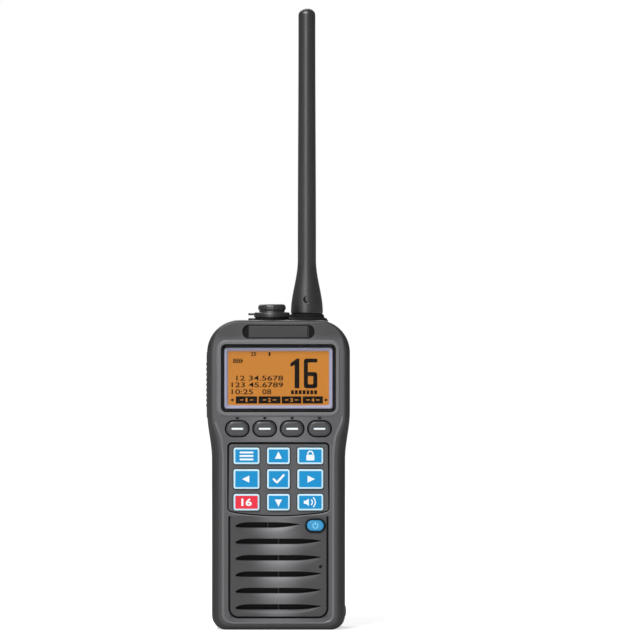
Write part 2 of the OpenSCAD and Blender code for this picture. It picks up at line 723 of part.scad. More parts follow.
// Screw cap: flange with a finger tab, neck, grip with a coin slot, and stem in the jack's mouth
module jack_cap() color([0.17, 0.17, 0.18]) at_jack() difference() {
  union() {
    rotate_extrude() polygon([[0, cap_z], [cap_r, cap_z], [cap_r, cap_z + cap_flange_t - 0.6],
      [cap_r - 0.6, cap_z + cap_flange_t], [cap_grip_r - 0.5, cap_z + cap_flange_t],
      [cap_grip_r - 0.5, cap_z + cap_flange_t + 1], [cap_grip_r, cap_z + cap_flange_t + 1.3],
      [cap_grip_r, cap_z + cap_flange_t + cap_grip_t - 1], [cap_grip_r - 1.2, cap_z + cap_flange_t + cap_grip_t],
      [0, cap_z + cap_flange_t + cap_grip_t]]);
    translate([0, 0, body_h - 4]) cylinder(r = jack_bore_r - 0.6, h = cap_z - body_h + 4);
    translate([-tab_x, -cap_tab_w/2, cap_z + 1]) cube([tab_x, cap_tab_w, cap_tab_t]);
  }
  translate([-coin_slot_w/2, -far/2, cap_z + cap_flange_t + cap_grip_t - coin_slot_d])
    cube([coin_slot_w, far, coin_slot_d + 1]);
  translate([0, 0, body_h - 5]) cylinder(r = jack_bore_r - 2, h = 5);
}
seal_r = jack_bore_r + 0.5;
module cap_seal() color([0.5, 0.12, 0.08]) at_jack() translate([0, 0, cap_z - 0.7]) difference() {
  cylinder(r = seal_r + 0.7, h = 0.7);
  translate([0, 0, -1]) cylinder(r = jack_bore_r - 0.6, h = 3);
}

// ---------------------------------------------------------------- push-to-talk key
module ptt_button() color([0.15, 0.15, 0.16]) {
  x_in = -side_w(ptt_z) + wall + gap;
  side_extrude(-side_w(ptt_z + ptt_l/3) - ptt_proud, x_in + ptt_flange_t) ptt_shape(0);
  side_extrude(x_in, x_in + ptt_flange_t) ptt_shape(ptt_flange_w);
}

// ---------------------------------------------------------------- battery pack
lock_head_r = 5;
lock_head_t = 2;
cell_w = 24;
cell_t = body_d - shell_d - rear_d - 2*pack_wall - gap - 0.6;
pack_z0 = bay_z0 + gap;
pack_z1 = bay_z1 - gap;
pack_y = bay_y + gap;
cell_z0 = contact_z + 6;
cell_z1 = pack_z1 - pack_wall - 0.6;
pad_t = 0.6;
seal_w = 25;
seal_h = 10;
seal_t = 0.8;
module at_contacts() for (i = [-1:1]) translate([i*contact_pitch, 0, contact_z]) children();
module battery_case() color([0.16, 0.16, 0.17]) difference() {
  intersection() {
    body_form();
    translate([-far/2, pack_y, pack_z0]) cube([far, far, pack_z1 - pack_z0]);
  }
  translate([-cell_w - 0.6, pack_y + pack_wall, cell_z0 - 0.3])
    cube([2*cell_w + 1.2, cell_t + 0.6, cell_z1 - cell_z0 + 0.6]);
  bar_y(0, lock_z, lock_r + run, pack_y - 1, back_y + 1);
  bar_y(0, lock_z, lock_head_r + 0.3, back_y - lock_head_t - 0.5, back_y + 1);
  at_contacts() face_extrude(pack_y - 1, pack_y + pad_t) square([4, 5], center = true);
  translate([0, 0, contact_z]) face_extrude(pack_y - 1, pack_y + seal_t) difference() {
    rrect(seal_w, seal_h, 3);
    rrect(seal_w - 3, seal_h - 3, 1.5);
  }
}
module battery_cells() color([0.25, 0.35, 0.6]) for (s = [-1, 1])
  translate([s*(cell_w/2 + 0.1) - cell_w/2, pack_y + pack_wall + 0.3, cell_z0])
    cube([cell_w, cell_t, cell_z1 - cell_z0]);
module battery_pads() color([0.85, 0.7, 0.3]) at_contacts() face_extrude(pack_y, pack_y + pad_t)
  square([4, 5], center = true);
module battery_seal() color([0.3, 0.3, 0.32]) translate([0, 0, contact_z])
  face_extrude(pack_y, pack_y + seal_t) difference() {
    rrect(seal_w, seal_h, 3);
    rrect(seal_w - 3, seal_h - 3, 1.5);
  }
// Captive screw with a coin slot, which locks the pack to the rear shell
module battery_screw() color([0.62, 0.62, 0.64]) translate([0, 0, lock_z]) difference() {
  union() {
    bar_y(0, 0, lock_head_r, back_y - lock_head_t, back_y - 0.1);
    bar_y(0, 0, lock_r, bay_y - 3.5, back_y - lock_head_t);
  }
  translate([-0.7, back_y - 1.1, -lock_head_r - 1]) cube([1.4, 3, 2*lock_head_r + 2]);
}

// ---------------------------------------------------------------- belt clip
base_t = 1.2;
clip_base_h = 20;
ear_w = 2.5;
pin_y = back_y + clip_gap - 3;
pin_z = bay_z1 - 14;
knuckle_r = 2.6;
cheek_w = 2;
clip_t = 2;
cheek_x = clip_w/2 - ear_w - gap - cheek_w;
module clip_base() color([0.14, 0.14, 0.15]) difference() {
  union() {
    translate([0, 0, pin_z]) face_extrude(back_y, back_y + base_t) rrect(clip_w + 4, clip_base_h, 2);
    for (s = [-1, 1]) translate([s*(clip_w/2 - ear_w/2) - ear_w/2, 0, pin_z]) {
      translate([0, back_y, -knuckle_r]) cube([ear_w, pin_y - back_y, 2*knuckle_r]);
      side_extrude(0, ear_w) translate([pin_y, 0]) circle(knuckle_r);
    }
  }
  side_extrude(-clip_w, clip_w) translate([pin_y, pin_z]) circle(pin_r);
  for (s = [-1, 1]) bar_y(0, pin_z + s*clip_screw_z, 1.2, back_y - 1, back_y + base_t + 1);
}
clip_screw_z = 7.5;
module clip_screws() color([0.6, 0.6, 0.62]) for (s = [-1, 1]) translate([0, 0, pin_z + s*clip_screw_z])
  bar_y(0, 0, 1.15, back_y, back_y + base_t);
module clip_pin() color([0.7, 0.7, 0.72]) side_extrude(-clip_w/2, clip_w/2) translate([pin_y, pin_z]) circle(pin_r);

// Lever with a thumb pad above the pin, a long leaf below it and a turned-in tip
leaf_y = back_y + clip_gap;
thumb_h = 11;
module belt_clip() color([0.15, 0.15, 0.16]) difference() {
  union() {
    side_extrude(-clip_w/2, clip_w/2) translate([0, pin_z]) polygon([
      [leaf_y, thumb_h], [leaf_y + clip_t*0.6, thumb_h + 1], [leaf_y + clip_t, thumb_h],
      [leaf_y + clip_t, 4 - clip_l], [leaf_y + clip_t - 1.5, 1 - clip_l], [back_y + 1.4, -clip_l],
      [back_y + gap, 1.4 - clip_l], [back_y + 1.2, 3 - clip_l], [leaf_y, 6 - clip_l]]);
    for (s = [-1, 1]) translate([s*(cheek_x + cheek_w/2) - cheek_w/2, 0, pin_z]) {
      translate([0, pin_y, -knuckle_r]) cube([cheek_w, leaf_y - pin_y + 0.5, 2*knuckle_r]);
      side_extrude(0, cheek_w) translate([pin_y, 0]) circle(knuckle_r);
    }
  }
  side_extrude(-clip_w, clip_w) translate([pin_y, pin_z]) circle(pin_r + run);
}

// Torsion spring on the pin: one wire wound round it
wire_r = 0.35;
spring_turns = 5;
spring_pitch = 1.3;
wire_sides = 6;
turn_steps = 12;
spring_r = pin_r + wire_r + 0.15;
module clip_spring() color([0.72, 0.72, 0.74]) {
  rings = spring_turns*turn_steps;
  lead = spring_pitch/turn_steps;
  polyhedron(
    points = [for (j = [0:rings]) for (i = [0:wire_sides - 1])
      let (a = 360*j/turn_steps, b = 360*i/wire_sides, r = spring_r + wire_r*cos(b))
      [(j - rings/2)*lead + wire_r*sin(b), pin_y + r*cos(a), pin_z + r*sin(a)]],
    faces = concat(
      [[for (i = [0:wire_sides - 1]) i]],
      [[for (i = [wire_sides - 1:-1:0]) rings*wire_sides + i]],
      [for (j = [0:rings - 1]) for (i = [0:wire_sides - 1]) let (k = (i + 1)%wire_sides, p = j*wire_sides, q = p + wire_sides)
        each [[p + i, q + i, q + k], [p + i, q + k, p + k]]]));
  path = [for (j = [0:rings]) let (a = 360*j/turn_steps)
    [(j - rings/2)*lead, spring_r*cos(a), spring_r*sin(a)]];
  echo(spring_gap = min([for (j = [0:rings - turn_steps]) for (k = [j + turn_steps/2:rings])
    norm(path[j] - path[k])]) - 2*wire_r);
}

front_case();
rear_case();
case_gasket();
badge_plate();
window_lens();
display_bezel();
display_panel();
display_holder();
main_board();
shield_can();
chassis_plate();
key_board();
keypad_mat();
speaker_basket();
speaker_magnet();
speaker_cone();
speaker_membrane();
mic_capsule();
mic_boot();
position_patch();
antenna_bush();
antenna_seat();
accessory_jack();
jack_seat();
ptt_switch();
battery_contacts();
case_screws();
antenna_sheath();
antenna_core();
antenna_plug();
jack_cap();
cap_seal();
ptt_button();
soft_key_1();
soft_key_2();
soft_key_3();
soft_key_4();
key_menu();
key_up();
key_clear();
key_left();
key_ok();
key_right();
key_16();
key_down();
key_volume();
power_key();
power_key_ring();
battery_case();
battery_cells();
battery_pads();
battery_seal();
clip_base();
clip_pin();
clip_spring();
clip_screws();
belt_clip();
battery_screw();
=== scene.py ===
import math

import bmesh
import bpy
import numpy as np
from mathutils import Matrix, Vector
from mathutils.geometry import delaunay_2d_cdt


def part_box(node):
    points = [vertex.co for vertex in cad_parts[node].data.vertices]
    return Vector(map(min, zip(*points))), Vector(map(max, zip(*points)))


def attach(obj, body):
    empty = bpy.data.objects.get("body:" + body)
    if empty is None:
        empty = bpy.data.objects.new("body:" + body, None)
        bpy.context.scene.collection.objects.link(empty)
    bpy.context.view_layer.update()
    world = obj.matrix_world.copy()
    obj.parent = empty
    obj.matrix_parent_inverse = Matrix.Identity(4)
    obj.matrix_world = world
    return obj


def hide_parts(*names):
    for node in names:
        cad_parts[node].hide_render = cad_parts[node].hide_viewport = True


bl_info = {
    "name": "Handheld marine radio",
    "version": (1, 0, 0),
    "blender": (4, 5, 0),
    "location": "View3D > Sidebar > Radio",
    "description": "Dresses the packed radio: shells, display, keys, louvres, antenna and belt clip",
    "category": "Object",
}

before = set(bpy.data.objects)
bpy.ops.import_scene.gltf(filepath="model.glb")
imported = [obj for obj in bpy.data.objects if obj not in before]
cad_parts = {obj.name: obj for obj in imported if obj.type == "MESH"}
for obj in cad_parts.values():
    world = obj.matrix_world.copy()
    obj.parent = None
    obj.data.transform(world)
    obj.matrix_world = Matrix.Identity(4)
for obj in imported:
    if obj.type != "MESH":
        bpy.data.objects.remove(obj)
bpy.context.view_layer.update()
MM = 0.001
SUPPORT = 0.12  # mm of level surface kept outside each rounded edge
FLOOR_CUT = 0.12  # mm of bevel between a hole's wall and its floor
PRINT = 0.03  # mm, thickness of printed marks
PRINT_SINK = 0.012  # mm that a key's print starts under its surface
FREE = 99.0  # mm, a limit in depth that no section reaches
WELD = 2e-6  # m


# ------------------------------------------------------------------ sizes

def span(node):
    """Lowest and highest corner of a CAD node, in mm."""
    low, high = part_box(node)
    return np.array(low) / MM, np.array(high) / MM


def middle(node):
    low, high = span(node)
    return (low + high) / 2


FACE = span("window_lens")[0][1]
PARTING = span("front_case")[1][1]
BODY_TOP = span("front_case")[1][2]
BODY_HALF = span("front_case")[1][0]
BACK = span("battery_case")[1][1]
BAY = (span("battery_case")[0][2] - 0.3, span("battery_case")[1][2] + 0.3)
BAY_Y = span("battery_case")[0][1] + 0.01
SCREW_HEAD = 2.4
SCREWS = [(span("case_screws")[1][0] - SCREW_HEAD, z) for z in (span("case_screws")[0][2] + SCREW_HEAD,
                                                                span("case_screws")[1][2] - SCREW_HEAD)]


class RadioSizes(bpy.types.PropertyGroup):
    """Sizes that the dressing adds to the CAD's own, in metres."""

    grip_width: bpy.props.FloatProperty(
        name="Grip width", description="Width of the case below its waist",
        default=0.0594, unit="LENGTH")
    waist_low: bpy.props.FloatProperty(
        name="Waist foot", description="Height at which the case starts to widen",
        default=0.0760, unit="LENGTH")
    waist_high: bpy.props.FloatProperty(
        name="Waist head", description="Height at which the case has its full width",
        default=0.0970, unit="LENGTH")
    base_radius: bpy.props.FloatProperty(
        name="Base corner radius", description="Radius of the two lower corners",
        default=0.0065, unit="LENGTH")
    top_radius: bpy.props.FloatProperty(
        name="Top corner radius", description="Radius of the two upper corners",
        default=0.0145, unit="LENGTH")
    edge_radius: bpy.props.FloatProperty(
        name="Edge radius", description="Rounding between the faces and the sides",
        default=0.005, unit="LENGTH")
    foot_radius: bpy.props.FloatProperty(
        name="Foot radius", description="Rounding of the front and back edges at the base",
        default=0.003, unit="LENGTH")
    brow_radius: bpy.props.FloatProperty(
        name="Brow radius", description="Rounding of the front and back edges at the top",
        default=0.0025, unit="LENGTH")
    ridge_height: bpy.props.FloatProperty(
        name="Ridge height", description="Raised line between the front face and the side bands",
        default=0.0004, unit="LENGTH")
    scoop_depth: bpy.props.FloatProperty(
        name="Scoop depth", description="Depth of a louvre's slope at its slot",
        default=0.0015, unit="LENGTH")
    slot_height: bpy.props.FloatProperty(
        name="Slot height", description="Height of a louvre slot in its middle",
        default=0.0024, unit="LENGTH")
    key_border: bpy.props.FloatProperty(
        name="Key border", description="Width of the pale border printed on the keypad keys",
        default=0.0006, unit="LENGTH")


class RadioColours(bpy.types.PropertyGroup):
    """Colours of the finishes, linear."""

    shell: bpy.props.FloatVectorProperty(
        name="Front shell", description="Moulded charcoal plastic", subtype="COLOR",
        default=(0.082, 0.082, 0.086))
    band: bpy.props.FloatVectorProperty(
        name="Rear shell", description="Darker moulded plastic", subtype="COLOR",
        default=(0.045, 0.045, 0.048))
    blue: bpy.props.FloatVectorProperty(
        name="Blue keys", description="Blue silicone", subtype="COLOR",
        default=(0.004, 0.25, 0.54))
    red: bpy.props.FloatVectorProperty(
        name="Red key", description="Red silicone", subtype="COLOR",
        default=(0.74, 0.028, 0.055))
    print_pale: bpy.props.FloatVectorProperty(
        name="Print", description="Pale print on the keys", subtype="COLOR",
        default=(0.78, 0.84, 0.88))
    amber: bpy.props.FloatVectorProperty(
        name="Display", description="Lit amber display", subtype="COLOR",
        default=(0.47, 0.165, 0.005))
    bezel: bpy.props.FloatVectorProperty(
        name="Display frame", description="Violet-grey painted frame", subtype="COLOR",
        default=(0.38, 0.38, 0.52))
    rubber: bpy.props.FloatVectorProperty(
        name="Rubber", description="Antenna and cap rubber", subtype="COLOR",
        default=(0.011, 0.011, 0.012))


def sizes():
    """The size properties in mm, by name."""
    group = bpy.context.scene.radio_sizes
    return {k: getattr(group, k) / MM for k in RadioSizes.__annotations__}


def colours():
    return bpy.context.scene.radio_colours


# ------------------------------------------------------------------ outlines
# An outline is a closed counter-clockwise loop of (x, z) points in mm. A shape is a
# function of one number that gives its outline moved outwards by that many mm.

def round_rect(w, h, r, cx=0.0, cz=0.0, steps=6):
    """Rectangle with a quarter circle at each corner."""
    def shape(grow):
        hw, hh, rr = w / 2 + grow, h / 2 + grow, max(r + grow, 0.05)
        turn = np.radians(np.linspace(0, 90, steps + 1))
        parts = []
        for q, (sx, sz) in enumerate(((1, 1), (-1, 1), (-1, -1), (1, -1))):
            a = turn + q * np.pi / 2
            corner = cx + sx * (hw - rr), cz + sz * (hh - rr)
            parts.append(np.stack([corner[0] + rr * np.cos(a), corner[1] + rr * np.sin(a)], -1))
        return np.concatenate(parts)
    return shape


def pill(w, h, cx=0.0, cz=0.0, steps=10):
    """Slot with half circles at its ends."""
    return round_rect(w, h, h / 2 - 0.02, cx, cz, steps)


def disc(r, cx=0.0, cz=0.0, steps=16):
    return round_rect(2 * r, 2 * r, r - 0.02, cx, cz, steps // 4 + 1)


def moved_out(loop, grow):
    """Each point moved along its outward normal, which is the chord of its neighbours turned right."""
    chord = np.roll(loop, -1, 0) - np.roll(loop, 1, 0)
    chord /= np.linalg.norm(chord, axis=1, keepdims=True)
    return loop + np.reshape(grow, (-1, 1)) * np.stack([chord[:, 1], -chord[:, 0]], -1)


def ribbon(line, width):
    """Outline of a stroke: the middle line moved half a width to each side, with round ends."""
    chord = np.gradient(line, axis=0)
    chord /= np.linalg.norm(chord, axis=1, keepdims=True)
    side = np.stack([chord[:, 1], -chord[:, 0]], -1)

    def shape(grow):
        r = width / 2 + grow
        turn = np.radians(np.linspace(0, 180, 9))[1:-1, None]
        caps = [p + r * (n * np.cos(turn) + s * t * np.sin(turn))
                for p, n, t, s in ((line[-1], side[-1], chord[-1], 1), (line[0], -side[0], chord[0], -1))]
        return np.concatenate([line + r * side, caps[0], (line - r * side)[::-1], caps[1]])
    return shape


def smooth(t):
    t = np.clip(t, 0, 1)
    return t * t * (3 - 2 * t)


def arc_in(r, d):
    """How far a quarter circle of radius r lies inside its tangent, d from its start."""
    d = np.clip(d, 0, r)
    return r - np.sqrt(np.maximum(0, r * r - (r - d) ** 2))


def side_w(z):
    s = sizes()
    t = (z - s["waist_low"]) / (s["waist_high"] - s["waist_low"])
    return s["grip_width"] / 2 + (BODY_HALF - s["grip_width"] / 2) * smooth(t)


def half_w(z):
    """Half the width of the case at height z: waist curve less the corner arcs."""
    s = sizes()
    return side_w(z) - arc_in(s["base_radius"], z) - arc_in(s["top_radius"], BODY_TOP - z)


def half_d(z):
    s = sizes()
    return BACK - arc_in(s["foot_radius"], z) - arc_in(s["brow_radius"], BODY_TOP - z)


def silhouette():
    """Front outline: base, corner arc, waisted side, corner arc and top, mirrored, from the base's middle."""
    s = sizes()
    br, tr = s["base_radius"], s["top_radius"]
    turn = np.radians(np.linspace(-90, 0, 11))
    foot = np.stack([s["grip_width"] / 2 - br + br * np.cos(turn), br + br * np.sin(turn)], -1)
    zs = np.linspace(br, BODY_TOP - tr, 46)[1:-1]
    side = np.stack([side_w(zs), zs], -1)
    turn = np.radians(np.linspace(0, 90, 19))
    brow = np.stack([BODY_HALF - tr + tr * np.cos(turn), BODY_TOP - tr + tr * np.sin(turn)], -1)
    base = np.stack([np.linspace(0, foot[0, 0], 9)[:-1], np.zeros(8)], -1)
    top = np.stack([np.linspace(brow[-1, 0], 0, 9)[1:], np.full(8, BODY_TOP)], -1)
    right = np.concatenate([base, foot, side, brow, top])
    left = right[1:-1][::-1] * [-1, 1]
    return np.concatenate([right, left])


def inside(points, loop):
    """Which points a loop holds: an odd number of its edges cross the ray from each point to +x."""
    a, b = loop, np.roll(loop, -1, 0)
    x, z = points[:, :1], points[:, 1:]
    spans = (a[:, 1] > z) != (b[:, 1] > z)
    rise = np.where(b[:, 1] == a[:, 1], 1.0, b[:, 1] - a[:, 1])
    cross = a[:, 0] + (z - a[:, 1]) / rise * (b[:, 0] - a[:, 0])
    return (spans & (x < cross)).sum(1) % 2 == 1


# ------------------------------------------------------------------ meshes

def on_face(points, depth, level=None):
    """(x, z) points at a depth in mm behind the front face."""
    level = FACE if level is None else level
    points = np.asarray(points, float)
    depth = np.broadcast_to(depth, points.shape[:-1])
    return np.stack([points[..., 0], level + depth, points[..., 1]], -1)


class Skin:
    """Gathers grids, carried profiles and flat fills, in mm, and welds them into one mesh."""

    def __init__(self):
        self.points, self.faces, self.finish_of, self.count = [], [], [], 0

    def add(self, points, faces, finish):
        self.points.append(points.reshape(-1, 3))
        self.faces += (np.asarray(faces) + self.count).tolist()
        self.finish_of += list(np.broadcast_to(finish, len(faces)))
        self.count += len(points.reshape(-1, 3))

    def grid(self, points, finish=0, wrap=False):
        """Quads over points[row, column]; finish is one number, one for each band of rows, or one a quad."""
        rows, cols = points.shape[:2]
        at = np.arange(rows * cols).reshape(rows, cols)
        if wrap:
            at = np.concatenate([at, at[:, :1]], 1)
        quads = np.stack([at[:-1, :-1], at[:-1, 1:], at[1:, 1:], at[1:, :-1]], -1)
        finish = np.asarray(finish)
        finish = finish if finish.ndim == 2 else finish.reshape(-1, 1)
        finish = np.broadcast_to(finish, quads.shape[:2]).reshape(-1)
        self.add(points, quads.reshape(-1, 4), finish)

    def carry(self, shape, profile, place=on_face, finish=0):
        """Carries a profile of (growth, depth) pairs round a shape."""
        rows = np.stack([place(shape(grow), depth) for grow, depth in profile])
        self.grid(rows, finish, wrap=True)

    def fill(self, loops, depth=0.0, place=on_face, finish=0):
        """Level triangles inside the first loop and outside the others."""
        flat = np.concatenate(loops)
        edges, start = [], 0
        for loop in loops:
            n = len(loop)
            edges += [(start + i, start + (i + 1) % n) for i in range(n)]
            start += n
        made = delaunay_2d_cdt([Vector(p) for p in flat], edges, [], 1, 1e-7)
        points, faces = np.array([tuple(p) for p in made[0]]), np.array([list(f) for f in made[2]])
        centres = points[faces].mean(1)
        keep = inside(centres, loops[0])
        for loop in loops[1:]:
            keep &= ~inside(centres, loop)
        self.add(place(points, depth), faces[keep], finish)

    def cap(self, loop, depth=0.0, place=on_face, finish=0):
        """One level polygon, for outlines without a hollow."""
        self.add(place(loop, depth), np.arange(len(loop))[None, :], finish)

    def mesh(self, name, finishes, angle=35, weld=WELD):
        mesh = bpy.data.meshes.new(name)
        mesh.from_pydata((np.concatenate(self.points) * MM).tolist(), [], self.faces)
        mesh.polygons.foreach_set("material_index", np.array(self.finish_of, np.int32))
        for finish in finishes:
            mesh.materials.append(finish)
        bm = bmesh.new()
        bm.from_mesh(mesh)
        bmesh.ops.remove_doubles(bm, verts=bm.verts, dist=weld)
        bmesh.ops.dissolve_degenerate(bm, edges=bm.edges, dist=1e-7)
        bmesh.ops.recalc_face_normals(bm, faces=bm.faces)
        bm.to_mesh(mesh)
        bm.free()
        mesh.polygons.foreach_set("use_smooth", np.ones(len(mesh.polygons), bool))
        mesh.set_sharp_from_angle(angle=math.radians(angle))
        return mesh


def rounded(r, depth, steps=4):
    """Profile of a hole's edge: level, a quarter circle of radius r, then straight down."""
    turn = np.radians(np.linspace(0, 90, steps + 1))
    bend = [(r - r * math.sin(a), r - r * math.cos(a)) for a in turn]
    return [(r + SUPPORT, 0)] + bend + [(0, depth - FLOOR_CUT), (-FLOOR_CUT, depth)]


def hole(skin, shape, r, depth, finish=0, floor=True, floor_finish=None, place=on_face):
    """A sunk shape with a rounded edge. Gives the loop that the face round it is filled to."""
    skin.carry(shape, rounded(r, depth), place, finish)
    if floor:
        look = np.ravel(finish)[-1] if floor_finish is None else floor_finish
        skin.fill([shape(-FLOOR_CUT)], depth, place, look)
    return shape(r + SUPPORT)


def solid(skin, shape, back, front, r, finish=0, crown=0.0, place=on_face, cut=0.3):
    """A closed block from depth back to depth front, its front edge rounded and its top slightly crowned."""
    turn = np.radians(np.linspace(0, 90, 5))
    profile = [(-cut, back), (0, back - cut)]
    profile += [(-r + r * math.cos(a), front + crown + r - r * math.sin(a)) for a in turn]
    profile += [(-r - SUPPORT, front + crown)]
    skin.carry(shape, profile, place, finish)
    skin.fill([shape(-cut)], back, place, finish)
    skin.fill([shape(-r - SUPPORT)], front + crown, place, finish)


def plate(skin, loops, back, front, finish=0, place=on_face):
    """A thin print: the same outline at two depths, joined by its edges."""
    skin.fill(loops, front, place, finish)
    skin.fill(loops, back, place, finish)
    for loop in loops:
        skin.grid(np.stack([place(loop, back), place(loop, front)]), finish, wrap=True)


def link(name, mesh, body, slot, replaces=()):
    """Puts a finished mesh in the scene at the origin, on its CAD body."""
    piece = bpy.data.objects.new(name, mesh)
    bpy.context.scene.collection.objects.link(piece)
    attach(piece, body)
    if replaces:
        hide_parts(*replaces)
    return piece


def whole_turn(steps):
    """Angles of a full turn in equal steps, without its end."""
    return np.radians(np.linspace(0, 360, steps, endpoint=False))


def lathe(x, y, r, z, a):
    """Points at radius r and height z about the upright axis at (x, y)."""
    return np.stack([x + r * np.cos(a), y + r * np.sin(a), z + 0 * a], -1)


def turned(profile, centre, steps=64, finish=0, skin=None):
    """Surface of revolution about an upright axis: profile of (radius, z), closed at radius 0."""
    skin = skin or Skin()
    profile = np.asarray(profile, float)
    skin.grid(lathe(*centre, profile[:, :1], profile[:, 1:], whole_turn(steps)), finish, wrap=True)
    return skin


def text_loops(words, height, left, foot, width, bold=0.0):
    """Points (x, z) and faces of a line of plain characters, height mm tall and width mm long."""
    curve = bpy.data.curves.new("words", "FONT")
    curve.body = words
    curve.size = 1.0
    curve.offset = bold
    curve.resolution_u = 3
    holder = bpy.data.objects.new("words", curve)
    bpy.context.scene.collection.objects.link(holder)
    bpy.context.view_layer.update()
    mesh = bpy.data.meshes.new_from_object(holder.evaluated_get(bpy.context.evaluated_depsgraph_get()))
    points = np.array([v.co[:2] for v in mesh.vertices])
    faces = [list(p.vertices) for p in mesh.polygons]
    bpy.data.objects.remove(holder)
    bpy.data.curves.remove(curve)
    bpy.data.meshes.remove(mesh)
    low, high = points.min(0), points.max(0)
    points = (points - low) / (high - low) * [width, height] + [left, foot]
    return points, faces


def add_text(skin, words, height, left, foot, depth, finish=0, width=1.0, bold=0.0, centred=False):
    """Closed thin plates in the shape of the characters."""
    points, faces = text_loops(words, height, left, foot, width, bold)
    if centred:
        points[:, 0] += left - (points[:, 0].min() + points[:, 0].max()) / 2
    front = on_face(points, depth - PRINT)
    back = on_face(points, depth)
    used = {}
    for f in faces:
        for a, b in zip(f, f[1:] + f[:1]):
            used[(a, b)] = True
    rim = [(a, b) for a, b in used if (b, a) not in used]
    n = len(points)
    walls = [[a, b, b + n, a + n] for a, b in rim]
    everything = np.concatenate([front, back])
    skin.points.append(everything)
    start = skin.count
    for f in faces + [[i + n for i in f[::-1]] for f in faces] + walls:
        skin.faces.append([i + start for i in f])
        skin.finish_of.append(finish)
    skin.count += len(everything)


# ------------------------------------------------------------------ materials

def finish_of(name, colour, rough, grain=0.35, bump=0.1, vary=0.06, metal=0.0, coat=0.0, sheen=0.0,
              specular=0.5):
    """Moulded or painted surface: fine noise raises a grain (in mm), broad noise shifts colour and gloss."""
    material = bpy.data.materials.new(name)
    material.use_nodes = True
    nodes, links = material.node_tree.nodes, material.node_tree.links
    shader = nodes["Principled BSDF"]
    shader.inputs["Metallic"].default_value = metal
    shader.inputs["Coat Weight"].default_value = coat
    shader.inputs["Sheen Weight"].default_value = sheen
    shader.inputs["Specular IOR Level"].default_value = specular
    place = nodes.new("ShaderNodeTexCoord")
    fine = nodes.new("ShaderNodeTexNoise")
    fine.inputs["Scale"].default_value = 1 / (grain * MM)
    fine.inputs["Detail"].default_value = 2.0
    broad = nodes.new("ShaderNodeTexNoise")
    broad.inputs["Scale"].default_value = 55.0
    broad.inputs["Detail"].default_value = 5.0
    links.new(place.outputs["Object"], fine.inputs["Vector"])
    links.new(place.outputs["Object"], broad.inputs["Vector"])
    tone = nodes.new("ShaderNodeMix")
    tone.data_type = "RGBA"
    tone.inputs["A"].default_value = (*[c * (1 - vary) for c in colour], 1)
    tone.inputs["B"].default_value = (*[min(1, c * (1 + vary)) for c in colour], 1)
    links.new(broad.outputs["Fac"], tone.inputs["Factor"])
    links.new(tone.outputs["Result"], shader.inputs["Base Color"])
    gloss = nodes.new("ShaderNodeMapRange")
    gloss.inputs["To Min"].default_value = max(0.03, rough - 0.06)
    gloss.inputs["To Max"].default_value = min(1.0, rough + 0.06)
    links.new(broad.outputs["Fac"], gloss.inputs["Value"])
    links.new(gloss.outputs["Result"], shader.inputs["Roughness"])
    relief = nodes.new("ShaderNodeBump")
    relief.inputs["Strength"].default_value = bump
    relief.inputs["Distance"].default_value = 0.0001
    links.new(fine.outputs["Fac"], relief.inputs["Height"])
    links.new(relief.outputs["Normal"], shader.inputs["Normal"])
    return material


def between(material, value, start, end, low, high):
    """Smooth step from low to high while an Object coordinate goes from start to end, in mm."""
    node = material.node_tree.nodes.new("ShaderNodeMapRange")
    node.interpolation_type = "SMOOTHSTEP"
    for socket, number in zip(node.inputs[1:5], (start * MM, end * MM, low, high)):
        socket.default_value = number
    material.node_tree.links.new(value, node.inputs[0])
    return node.outputs[0]


def joined(material, kind, *terms):
    """Sum, product or other plain arithmetic of sockets and numbers."""
    node = material.node_tree.nodes.new("ShaderNodeMath")
    node.operation = kind
    for socket, term in zip(node.inputs, terms):
        if isinstance(term, (int, float)):
            socket.default_value = term
        else:
            material.node_tree.links.new(term, socket)
    return node.outputs[0]


def with_painted_light(material, recipe):
    """Paints light and shade: multiplies the colour by a factor that recipe makes from the distance to the
    middle plane, y and z.
    """
    nodes, links = material.node_tree.nodes, material.node_tree.links
    split = nodes.new("ShaderNodeSeparateXYZ")
    links.new(nodes["Texture Coordinate"].outputs["Object"], split.inputs[0])
    x = joined(material, "ABSOLUTE", split.outputs["X"])
    times = nodes.new("ShaderNodeVectorMath")
    times.operation = "SCALE"
    links.new(nodes["Mix"].outputs["Result"], times.inputs[0])
    links.new(recipe(material, x, split.outputs["Y"], split.outputs["Z"]), times.inputs["Scale"])
    links.new(times.outputs[0], nodes["Principled BSDF"].inputs["Base Color"])
    return material


def painted_face_light(material, x, y, z):
    """Painted light on the face: a painted sheen along its middle, painted shade at its top, darker inside
    the grille's groove, where a painted highlight lightens the louvres with their depth near the middle."""
    # painted sheen along the middle of the face, and painted shade towards its top
    painted_sheen = joined(material, "MULTIPLY", between(material, x, 0, 24, 0.65, 0),
                         between(material, y, -18.9, -18.4, 1, 0))
    face = joined(material, "MULTIPLY", joined(material, "ADD", painted_sheen, 1.0),
                  between(material, z, 128, 132, 1, 0.6))
    # painted highlight in the louvres' scoops, lighter the deeper they sink near the middle
    depth = between(material, y, -19.0, -17.6, 0.95, 1.45)
    louvre = joined(material, "MULTIPLY", depth, between(material, x, 0, 13, 1, 0))
    louvre = joined(material, "ADD", louvre, 0.62)
    panel = joined(material, "MULTIPLY", between(material, x, 21.6, 22.0, 1, 0),
                   between(material, z, 50.4, 51.6, 1, 0))
    panel = joined(material, "MULTIPLY", panel, between(material, z, 5.3, 5.7, 0, 1))
    return joined(material, "MULTIPLY_ADD", panel, joined(material, "SUBTRACT", louvre, face), face)


def painted_side_shade(material, x, y, z):
    """Painted shade: as light as the face where it leaves it, soon dark round the edge, a little lighter on
    the side.
    """
    painted_edge_shade = joined(material, "ADD", between(material, y, -19.2, -18.4, 0.6, 0),
                  between(material, y, -18.6, -16.4, 0.2, 0))
    return joined(material, "ADD", painted_edge_shade, between(material, y, -16, -11, 0.20, 0.46))


